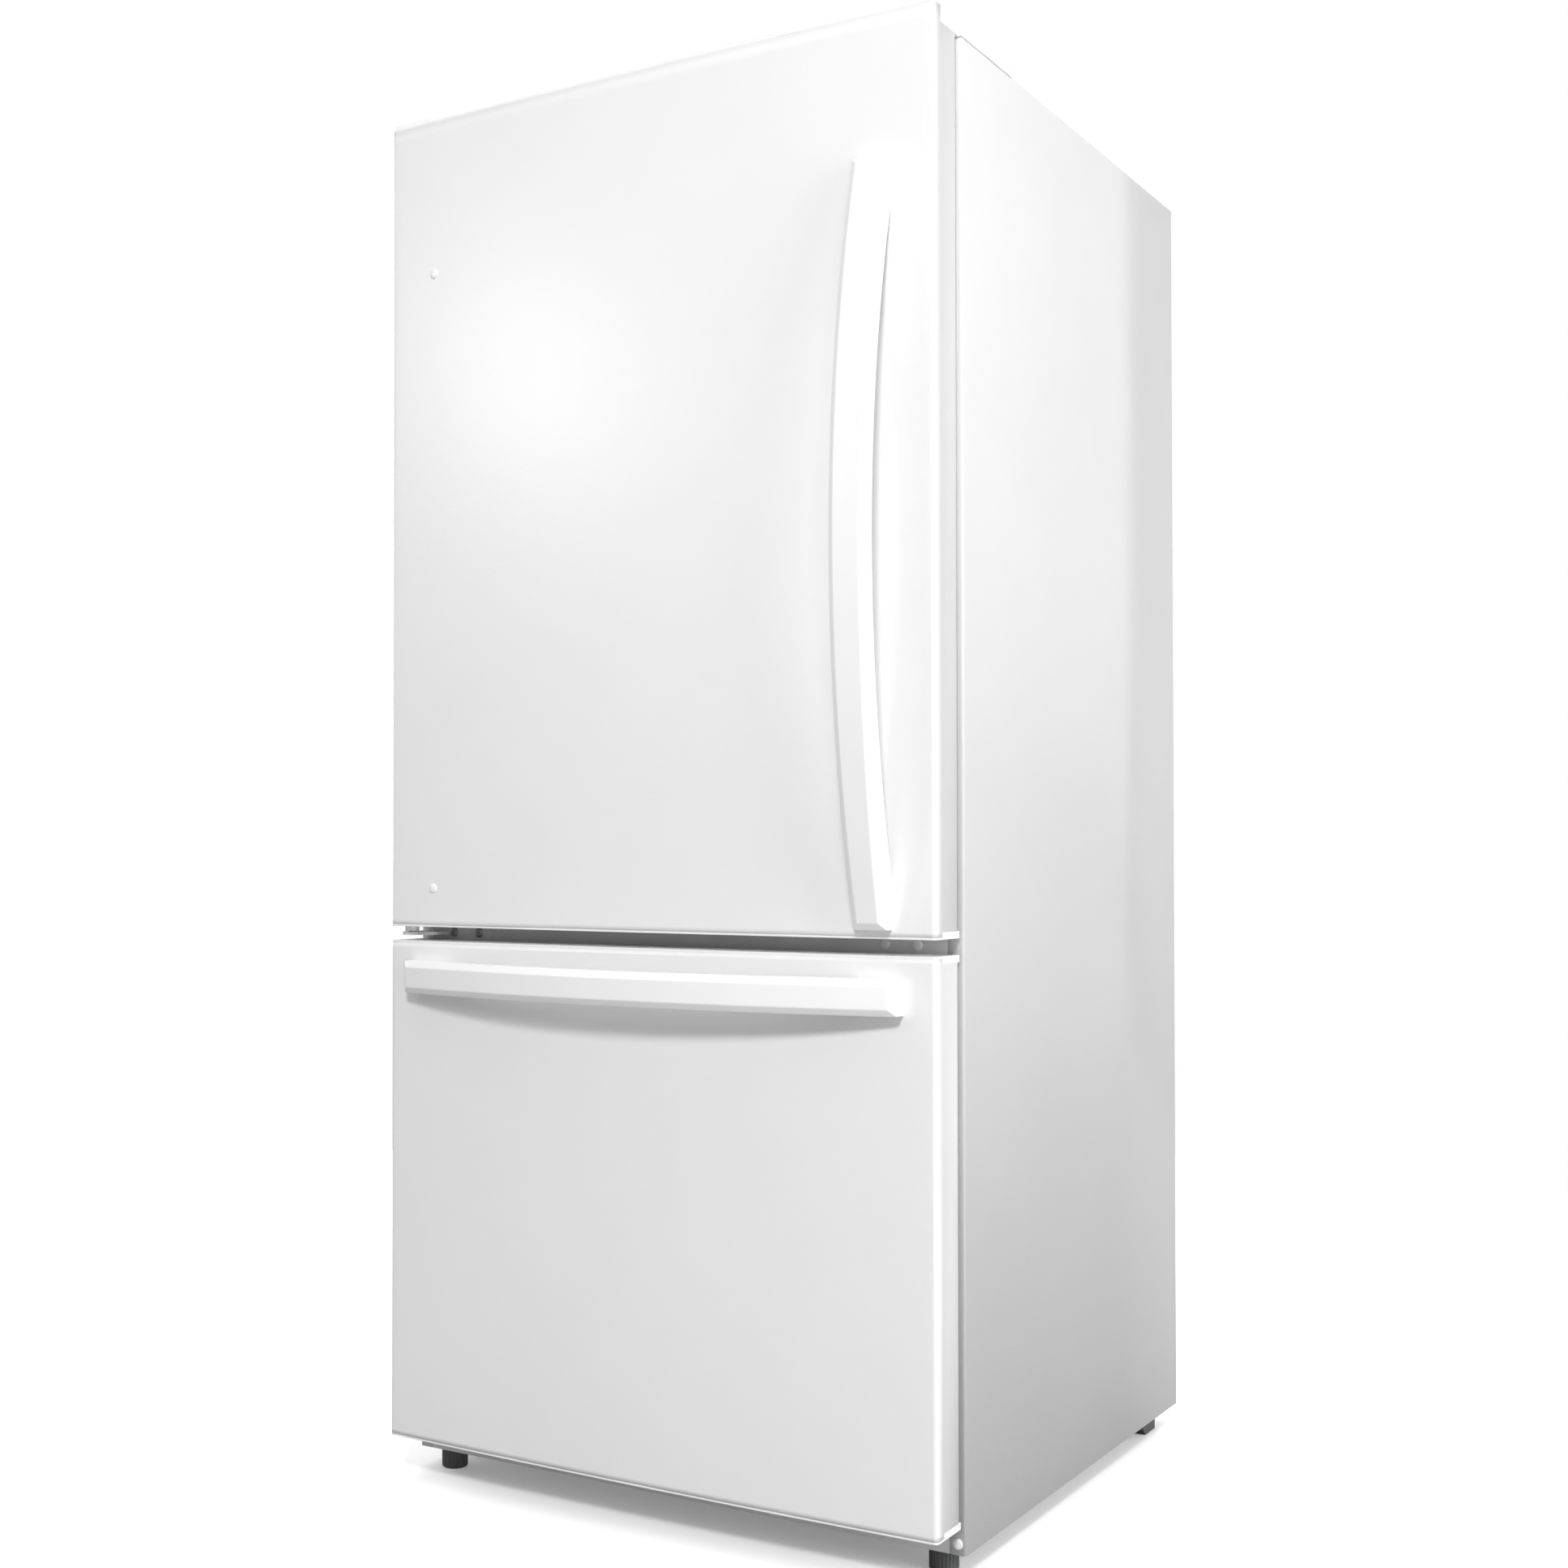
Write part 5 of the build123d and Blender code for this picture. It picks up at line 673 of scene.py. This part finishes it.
WHITE_POWDER = painted_steel("white_powder_coat", "E4E4E4")
ZINC = plated_steel("zinc_plated_steel", "C3C5C4", 0.34)
rounded_copy("middle_hinge", "cabinet", WHITE_POWDER, 0.6 * MM)
rounded_copy("top_hinge", "cabinet", ZINC, 0.6 * MM)
hinge_heads = bmesh.new()
for low, high in node_groups("hinge_screws"):
    middle = (low + high) / 2
    if high.z - low.z > HINGE_SCREW_RISE * 1.5:
        head = screw_head("hinge_screw", Vector((middle.x, low.y + HINGE_SCREW_RISE, middle.z)),
                          Vector((0, -1, 0)), HINGE_SCREW, HINGE_SCREW_RISE)
    else:
        head = screw_head("hinge_screw", Vector((middle.x, middle.y, low.z)), Vector((0, 0, 1)),
                          HINGE_SCREW, HINGE_SCREW_RISE)
    hinge_heads.from_mesh(head)
mesh_piece("hinge_screw_heads", finished(hinge_heads, "hinge_screw_heads"), ZINC, "cabinet",
           ["hinge_screws"])

# ---- Top cover ---------------------------------------------------------------------------
# One moulding in white ABS clips over the cabinet's front top edge, with a hood over the upper
# hinge that keeps dust and fingers out.
rounded_copy("top_cover", "cabinet", WHITE_ABS, 0.9 * MM)

# ---- Base, centre rail, feet and skids ---------------------------------------------------
# A painted steel base carries two black nylon levelling feet on threaded stems, and two moulded
# rear skids. The painted centre rail ties the sides together.
BLACK_NYLON = moulded_plastic("black_moulded_nylon", "606162", 0.8 * MM, 0.25, 0.50)
rounded_copy("base_frame", "cabinet", WHITE_POWDER, 0.3 * MM)
rounded_copy("centre_rail", "cabinet", WHITE_POWDER, 0.3 * MM)
rounded_copy("rear_skids", "cabinet", BLACK_NYLON, 1.2 * MM)
for node in ("front_foot_left", "front_foot_right"):
    rounded_copy(node, node, BLACK_NYLON, 0.25 * MM, 40)

# ---- Back panel --------------------------------------------------------------------------
# Flat galvanised sheet, folded forwards over the machine space, with screws down its edges and
# four round plastic plugs in the holes that the foam was poured through.
BACK_LOW, BACK_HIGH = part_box("back_panel")
SCREW_HEAD = 4.2 * MM
SCREW_RISE = 0.9 * MM
EDGE_SCREW_INSET = 9.0 * MM
EDGE_SCREW_START = 320.0 * MM      # above the panel's foot
EDGE_SCREWS = 7
FOAM_PLUG = 20.0 * MM
FOAM_PLUG_X = 170.0 * MM
FOAM_PLUG_Z = 700.0 * MM
FOAM_PLUG_STEP = 620.0 * MM


def galvanised_sheet(name, colour):
    """Hot-dip galvanised steel: grey spangles about 12 mm across, some brighter than others."""
    material, tree, shader, place = new_surface(name)
    spangle = add(tree, "ShaderNodeTexVoronoi", Vector=place, Scale=1 / (12 * MM))
    fleck = add(tree, "ShaderNodeSeparateColor", Color=spangle.outputs["Color"])
    dark = [c * 0.80 for c in linear(colour)[:3]] + [1.0]
    tone = add(tree, "ShaderNodeMix", {"data_type": "RGBA"}, Factor=fleck.outputs[0], _6=dark,
               _7=linear(colour))
    rough = add(tree, "ShaderNodeMapRange", Value=fleck.outputs[1], To_Min=0.38, To_Max=0.58)
    wire(tree, shader, tone, rough)
    shader.inputs["Metallic"].default_value = 1.0
    return material


def even_rows():
    """Geometry Nodes tree that repeats a piece in columns and rows and gives it its finish."""
    tree = bpy.data.node_groups.new("even_rows", "GeometryNodeTree")
    face = tree.interface
    face.new_socket("Geometry", in_out="INPUT", socket_type="NodeSocketGeometry")
    for name, kind in (("Columns", "NodeSocketInt"), ("Column Step", "NodeSocketVector"),
                       ("Rows", "NodeSocketInt"), ("Row Step", "NodeSocketVector"),
                       ("Finish", "NodeSocketMaterial")):
        face.new_socket(name, in_out="INPUT", socket_type=kind)
    face.new_socket("Geometry", in_out="OUTPUT", socket_type="NodeSocketGeometry")
    given = tree.nodes.new("NodeGroupInput").outputs
    line = {"mode": "OFFSET", "count_mode": "TOTAL"}
    columns = add(tree, "GeometryNodeMeshLine", line, Count=given["Columns"],
                  Offset=given["Column Step"])
    rows = add(tree, "GeometryNodeMeshLine", line, Count=given["Rows"], Offset=given["Row Step"])
    lines = add(tree, "GeometryNodeInstanceOnPoints", Points=columns.outputs[0],
                Instance=rows.outputs[0])
    points = add(tree, "GeometryNodeRealizeInstances", Geometry=lines.outputs[0])
    pieces = add(tree, "GeometryNodeInstanceOnPoints", Points=points.outputs[0],
                 Instance=given["Geometry"])
    solid = add(tree, "GeometryNodeRealizeInstances", Geometry=pieces.outputs[0])
    done = add(tree, "GeometryNodeSetMaterial", Geometry=solid.outputs[0],
               Material=given["Finish"])
    add(tree, "NodeGroupOutput", Geometry=done.outputs[0])
    return tree


def repeated(name, pattern, columns, column_step, rows, row_step, material, body,
             replaced=(), smooth=32.0):
    """Run the even_rows tree on one piece's mesh and keep the result as a plain mesh."""
    seed = bpy.data.objects.new(name + "_seed", pattern)
    bpy.context.scene.collection.objects.link(seed)
    grow = seed.modifiers.new("rows", "NODES")
    grow.node_group = ROWS
    given = {"Columns": columns, "Column Step": column_step, "Rows": rows,
             "Row Step": row_step, "Finish": material}
    for socket in ROWS.interface.items_tree:
        if socket.in_out == "INPUT" and socket.name in given:
            grow[socket.identifier] = given[socket.name]
    ready = seed.evaluated_get(bpy.context.evaluated_depsgraph_get())
    mesh = bpy.data.meshes.new_from_object(ready)
    mesh.name = name
    bpy.data.objects.remove(seed)
    return mesh_piece(name, mesh, material, body, replaced, smooth)


ROWS = even_rows()
GALVANISED = galvanised_sheet("hot_dip_galvanised_sheet", "CDCFD0")
GREY_PLASTIC = moulded_plastic("moulded_grey_polypropylene", "9EA0A1", 0.8 * MM, 0.15, 0.42)
rounded_copy("back_panel", "cabinet", GALVANISED, 0.0, sunk=SCREW_RISE)
rear_out = Vector((0, 1, 0))
screw_base = Vector((BACK_LOW.x + EDGE_SCREW_INSET, BACK_HIGH.y - SCREW_RISE,
                     BACK_LOW.z + EDGE_SCREW_START))
back_span = BACK_HIGH.z - screw_base.z - EDGE_SCREW_INSET
pan_head = screw_head("pan_head", screw_base, rear_out, SCREW_HEAD, SCREW_RISE)
repeated("back_edge_screws", pan_head, 2, (2 * abs(screw_base.x), 0, 0), EDGE_SCREWS,
         (0, 0, back_span / (EDGE_SCREWS - 1)), ZINC, "cabinet")
plug_profile = ((FOAM_PLUG, 0), (FOAM_PLUG, SCREW_RISE * 0.5), (FOAM_PLUG * 0.93, SCREW_RISE),
                (FOAM_PLUG * 0.5, SCREW_RISE), (FOAM_PLUG * 0.45, SCREW_RISE * 0.4),
                (FOAM_PLUG * 0.02, SCREW_RISE * 0.4))
foam_plug = turned("foam_plug", plug_profile,
                   Vector((-FOAM_PLUG_X, BACK_HIGH.y - SCREW_RISE, FOAM_PLUG_Z)), rear_out, 40)
repeated("foam_hole_plugs", foam_plug, 2, (2 * FOAM_PLUG_X, 0, 0), 2, (0, 0, FOAM_PLUG_STEP),
         GREY_PLASTIC, "cabinet")

# ---- Machine space -----------------------------------------------------------------------
# Behind the louvred cover: the sealed compressor in black enamel on rubber mounts, the finned
# condenser with its fan and shroud, the drain pan, and the brazed copper lines with the drier.
COVER_LOW, COVER_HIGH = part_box("machine_cover")
LOUVRE_LENGTH = 150.0 * MM
LOUVRE_PITCH = 18.0 * MM
LOUVRE_COLUMNS = 3
LOUVRE_ROWS = 8
LOUVRE_MIDDLE = 149.0 * MM         # the louvres' middle height over the floor
HOOD_HEIGHT = 7.0 * MM
HOOD_THROW = 7.0 * MM
HOOD_STEPS = 6
HOOD_SHEET = 0.8 * MM
COVER_SCREWS = 4


def copper(name, colour):
    """Drawn copper tube: warm metal, browned in clouds where it was brazed and handled."""
    material, tree, shader, place = new_surface(name)
    stain = add(tree, "ShaderNodeTexNoise", Vector=place, Scale=45.0, Detail=5.0)
    tone = add(tree, "ShaderNodeMix", {"data_type": "RGBA"}, Factor=stain.outputs["Fac"],
               _6=linear("7A4A33"), _7=linear(colour))
    rough = add(tree, "ShaderNodeMapRange", Value=stain.outputs["Fac"], To_Min=0.45, To_Max=0.25)
    wire(tree, shader, tone, rough)
    shader.inputs["Metallic"].default_value = 1.0
    return material


def louvre_hood(name, base, length, height, throw):
    """One louvre's hood: a curved blade that leans inwards behind its slot."""
    rows = []
    for step in range(HOOD_STEPS + 1):
        turn = pi / 2 * step / HOOD_STEPS
        rows.append([base + Vector((x, -throw * sin(turn), height * cos(turn)))
                     for x in (-length / 2, -length / 6, length / 6, length / 2)])
    return skin_mesh(name, rows)


BLACK_ENAMEL = moulded_plastic("black_stoved_enamel", "232426", 2.0 * MM, 0.10, 0.28)
BLACK_RUBBER = moulded_plastic("black_rubber", "2A2A2B", 1.0 * MM, 0.30, 0.75)
FIN_ALUMINIUM = plated_steel("rolled_fin_aluminium", "C9CBCD", 0.40)
COPPER = copper("drawn_copper_tube", "C57F5A")
BLACK_PLASTIC = moulded_plastic("black_moulded_polypropylene", "3A3B3C", 0.8 * MM, 0.2, 0.45)
rounded_copy("machine_cover", "cabinet", GALVANISED, 0.0, sunk=SCREW_RISE)
for node, finish, edge in (
        ("compressor", BLACK_ENAMEL, 0.8 * MM),
        ("compressor_grommets", BLACK_RUBBER, 1.0 * MM), ("condenser", BLACK_ENAMEL, 0.0),
        ("drain_pan", GREY_PLASTIC, 0.5 * MM), ("condenser_fan_motor", GALVANISED, 0.4 * MM),
        ("refrigerant_lines", COPPER, 0.0), ("mains_inlet", BLACK_PLASTIC, 0.3 * MM)):
    rounded_copy(node, "cabinet", finish, edge)
rounded_copy("condenser_fan_blade", "condenser_fan", BLACK_PLASTIC, 0.4 * MM)
cover_width = COVER_HIGH.x - COVER_LOW.x
column_pitch = cover_width / LOUVRE_COLUMNS
first_hood = Vector((COVER_LOW.x + column_pitch / 2, COVER_LOW.y - SCREW_RISE - 0.2 * MM,
                     LOUVRE_MIDDLE - LOUVRE_PITCH * (LOUVRE_ROWS - 1) / 2 - 3 * MM))
hood = louvre_hood("hood", first_hood, LOUVRE_LENGTH - 2 * MM, HOOD_HEIGHT, HOOD_THROW)
hoods = repeated("louvre_hoods", hood, LOUVRE_COLUMNS, (column_pitch, 0, 0), LOUVRE_ROWS,
                 (0, 0, LOUVRE_PITCH), GALVANISED, "cabinet")
thicken(hoods, HOOD_SHEET, 0)
cover_screw = Vector((COVER_LOW.x + EDGE_SCREW_INSET, COVER_HIGH.y - SCREW_RISE,
                      COVER_LOW.z + EDGE_SCREW_INSET))
cover_head = screw_head("pan_head", cover_screw, rear_out, SCREW_HEAD, SCREW_RISE)
repeated("cover_screws", cover_head, COVER_SCREWS,
         ((cover_width - 2 * EDGE_SCREW_INSET) / (COVER_SCREWS - 1), 0, 0), 2,
         (0, 0, COVER_HIGH.z - COVER_LOW.z - 2 * EDGE_SCREW_INSET), ZINC, "cabinet")

# ---- Fresh food compartment --------------------------------------------------------------
# The liner is high-impact polystyrene, drawn by vacuum over a mould, with the foam set behind
# it. Rear ladders carry glass shelves in moulded rims; an air duct runs up the middle.
GLASS_ALPHA = 0.24
CLEAR_ALPHA = 0.20


def drawn_liner(name, colour):
    """Vacuum-formed polystyrene: glossy, softly wavy where the sheet thinned over the mould."""
    material, tree, shader, place = new_surface(name)
    waves = add(tree, "ShaderNodeTexNoise", Vector=place, Scale=16.0, Detail=1.0)
    cloud = add(tree, "ShaderNodeTexNoise", Vector=place, Scale=5.0, Detail=3.0)
    dark = [c * 0.95 for c in linear(colour)[:3]] + [1.0]
    tone = add(tree, "ShaderNodeMix", {"data_type": "RGBA"}, Factor=cloud.outputs["Fac"],
               _6=dark, _7=linear(colour))
    rough = add(tree, "ShaderNodeMapRange", Value=cloud.outputs["Fac"], To_Min=0.18, To_Max=0.28)
    bump = add(tree, "ShaderNodeBump", Height=waves.outputs["Fac"], Strength=0.12, Distance=0.004)
    wire(tree, shader, tone, rough, bump)
    shader.inputs["IOR"].default_value = 1.59
    return material


def toughened_glass(name, tint):
    """Toughened float glass: faintly green, barely rippled. Its clearness is alpha, so that
    light reaches the shelves below it."""
    material, tree, shader, place = new_surface(name)
    ripple = add(tree, "ShaderNodeTexNoise", Vector=place, Scale=9.0, Detail=1.0)
    tone = add(tree, "ShaderNodeMix", {"data_type": "RGBA"}, Factor=ripple.outputs["Fac"],
               _6=linear(tint), _7=linear("DDEDE6"))
    bump = add(tree, "ShaderNodeBump", Height=ripple.outputs["Fac"], Strength=0.04, Distance=0.002)
    wire(tree, shader, tone, bump=bump)
    shader.inputs["Roughness"].default_value = 0.02
    shader.inputs["IOR"].default_value = 1.52
    shader.inputs["Alpha"].default_value = GLASS_ALPHA
    return material


def clear_moulding(name, tint, haze, grain):
    """Clear moulded polystyrene: see-through by alpha, with a cool tint and flow lines."""
    material, tree, shader, place = new_surface(name)
    flow = add(tree, "ShaderNodeTexNoise", Vector=place, Scale=1 / grain, Detail=2.0,
               Distortion=0.6)
    tone = add(tree, "ShaderNodeMix", {"data_type": "RGBA"}, Factor=flow.outputs["Fac"],
               _6=linear(tint), _7=linear("F1F6F8"))
    rough = add(tree, "ShaderNodeMapRange", Value=flow.outputs["Fac"], To_Min=haze,
                To_Max=haze + 0.06)
    bump = add(tree, "ShaderNodeBump", Height=flow.outputs["Fac"], Strength=0.10, Distance=0.002)
    wire(tree, shader, tone, rough, bump)
    shader.inputs["IOR"].default_value = 1.55
    shader.inputs["Alpha"].default_value = CLEAR_ALPHA
    return material


LINER_PLASTIC = drawn_liner("drawn_white_polystyrene", "EDEEEE")
GLASS = toughened_glass("toughened_shelf_glass", "B4D2C6")
CLEAR = clear_moulding("clear_moulded_polystyrene", "D3DEE3", 0.05, 30 * MM)
for node, finish, edge in (
        ("fresh_food_liner", LINER_PLASTIC, 1.2 * MM), ("shelf_ladders", WHITE_POWDER, 0.3 * MM),
        ("air_tower", LINER_PLASTIC, 1.0 * MM), ("shelf_frames", WHITE_ABS, 0.8 * MM),
        ("shelf_glass", GLASS, 0.5 * MM), ("crisper_cover", GLASS, 0.5 * MM),
        ("crisper_frame", WHITE_ABS, 0.5 * MM)):
    rounded_copy(node, "cabinet", finish, edge)
for node in ("crisper_left", "crisper_right"):
    rounded_copy(node, node, CLEAR, 0.8 * MM)

# ---- Thermostat and lamp -----------------------------------------------------------------
# A white moulding screwed to the ceiling holds the thermostat and the lamp. The knob turns
# against a ring of moulded marks, and a ribbed diffuser snaps in below the lamp.
KNOB_LOW, KNOB_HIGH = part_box("thermostat_knob")
HOUSING_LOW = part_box("control_housing")[0]
DIAL_MARKS = 11
DIAL_SWEEP = 270.0        # degrees, the same to both sides of the top
DIAL_INNER = 20.5 * MM
DIAL_OUTER = 23.0 * MM
DIAL_GROWTH = 0.15 * MM   # each mark is longer than the one before it
MARK_HALF = 0.35 * MM
MARK_WIDENING = 0.05 * MM
MARK_RISE = 0.3 * MM
LENS_RIB = 5.0 * MM
WAVES_PER_METRE = 3.2     # of the wave texture at scale 1


def ribbed_diffuser(name, tint):
    """Frosted polystyrene lens with prism ribs 5 mm apart, which spread the lamp's light."""
    material, tree, shader, place = new_surface(name)
    rib = add(tree, "ShaderNodeTexWave", {"bands_direction": "X"}, Vector=place,
              Scale=1 / LENS_RIB / WAVES_PER_METRE)
    haze = add(tree, "ShaderNodeTexNoise", Vector=place, Scale=60.0)
    tone = add(tree, "ShaderNodeMix", {"data_type": "RGBA"}, Factor=haze.outputs["Fac"],
               _6=linear(tint), _7=linear("FBFBF8"))
    bump = add(tree, "ShaderNodeBump", Height=rib.outputs["Fac"], Strength=0.6, Distance=0.001)
    wire(tree, shader, tone, bump=bump)
    shader.inputs["Roughness"].default_value = 0.35
    shader.inputs["Transmission Weight"].default_value = 0.5
    return material


rounded_copy("control_housing", "cabinet", WHITE_ABS, 1.2 * MM)
rounded_copy("light_lens", "cabinet", ribbed_diffuser("ribbed_diffuser", "ECECE4"), 0.4 * MM)
rounded_copy("thermostat_knob", "thermostat_knob",
             moulded_plastic("moulded_grey_abs", "B4B7B9", 0.9 * MM, 0.05, 0.32), 0.5 * MM)
knob_middle = (KNOB_LOW + KNOB_HIGH) / 2
dial_form = bmesh.new()
for mark in range(DIAL_MARKS):
    angle = radians(DIAL_SWEEP * (mark / (DIAL_MARKS - 1) - 0.5))
    out = Vector((sin(angle), 0, cos(angle)))
    side = Vector((cos(angle), 0, -sin(angle))) * (MARK_HALF + MARK_WIDENING * mark)
    far = DIAL_OUTER + DIAL_GROWTH * mark
    face = Vector((knob_middle.x, HOUSING_LOW.y, knob_middle.z))
    corners = [face + out * DIAL_INNER - side, face + out * DIAL_INNER + side,
               face + out * far + side, face + out * far - side]
    front = [dial_form.verts.new(corner - Vector((0, MARK_RISE, 0))) for corner in corners]
    rear = [dial_form.verts.new(corner) for corner in corners]
    dial_form.faces.new(front)
    dial_form.faces.new(list(reversed(rear)))
    for here, after in zip((0, 1, 2, 3), (1, 2, 3, 0)):
        dial_form.faces.new((front[after], front[here], rear[here], rear[after]))
bmesh.ops.recalc_face_normals(dial_form, faces=dial_form.faces)
mesh_piece("dial_marks", finished(dial_form, "dial_marks"), GREY_PLASTIC, "cabinet")

# ---- Door's inside -----------------------------------------------------------------------
# The door's drawn liner has two upright dikes between which clear bins hang on moulded lugs,
# and a dairy bin with a lid that tips up on two pins.
rounded_copy("door_liner", "door", LINER_PLASTIC, 1.5 * MM)
rounded_copy("door_bins", "door", CLEAR, 0.8 * MM)
rounded_copy("dairy_lid", "dairy_lid", CLEAR, 0.6 * MM)

# ---- Freezer -----------------------------------------------------------------------------
# A stepped liner clears the machine space. Its rear panel hides the evaporator, its heater and
# the fan. Steel slides carry the drawer, whose deep basket has a sliding tray on top.
for node, body, finish, edge in (
        ("freezer_liner", "cabinet", LINER_PLASTIC, 2.0 * MM),
        ("freezer_back_panel", "cabinet", LINER_PLASTIC, 0.6 * MM),
        ("evaporator", "cabinet", FIN_ALUMINIUM, 0.0),
        ("evaporator_fan_motor", "cabinet", GREY_PLASTIC, 0.4 * MM),
        ("evaporator_fan_blade", "evaporator_fan", GREY_PLASTIC, 0.3 * MM),
        ("drawer_liner", "freezer_drawer", LINER_PLASTIC, 1.0 * MM),
        ("slide_rails_fixed", "cabinet", ZINC, 0.4 * MM),
        ("slide_rails_middle", "slide_rails_middle", ZINC, 0.4 * MM),
        ("slide_rails_drawer", "freezer_drawer", ZINC, 0.4 * MM),
        ("freezer_basket", "freezer_drawer", WHITE_ABS, 1.2 * MM),
        ("upper_tray", "upper_tray", WHITE_ABS, 0.8 * MM)):
    rounded_copy(node, body, finish, edge)

# ---- Foam --------------------------------------------------------------------------------
# Rigid polyurethane foam fills the walls, the door and the drawer front. It is poured between
# sheet and liner and bonds them; it shows only where a piece is taken off.


def rigid_foam(name, colour):
    """Rigid polyurethane: pale yellow, with cells drawn at 2.5 mm so that they show."""
    material, tree, shader, place = new_surface(name)
    cells = add(tree, "ShaderNodeTexVoronoi", Vector=place, Scale=1 / (2.5 * MM))
    tone = add(tree, "ShaderNodeMix", {"data_type": "RGBA"}, Factor=cells.outputs["Distance"],
               _6=linear("C9B06A"), _7=linear(colour))
    bump = add(tree, "ShaderNodeBump", Height=cells.outputs["Distance"], Strength=0.5,
               Distance=0.001)
    wire(tree, shader, tone, bump=bump)
    shader.inputs["Roughness"].default_value = 0.9
    return material


FOAM = rigid_foam("rigid_polyurethane_foam", "EBDDA6")
for node in ("cabinet_insulation", "door_insulation", "drawer_insulation"):
    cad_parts[node].data.materials.clear()
    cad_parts[node].data.materials.append(FOAM)
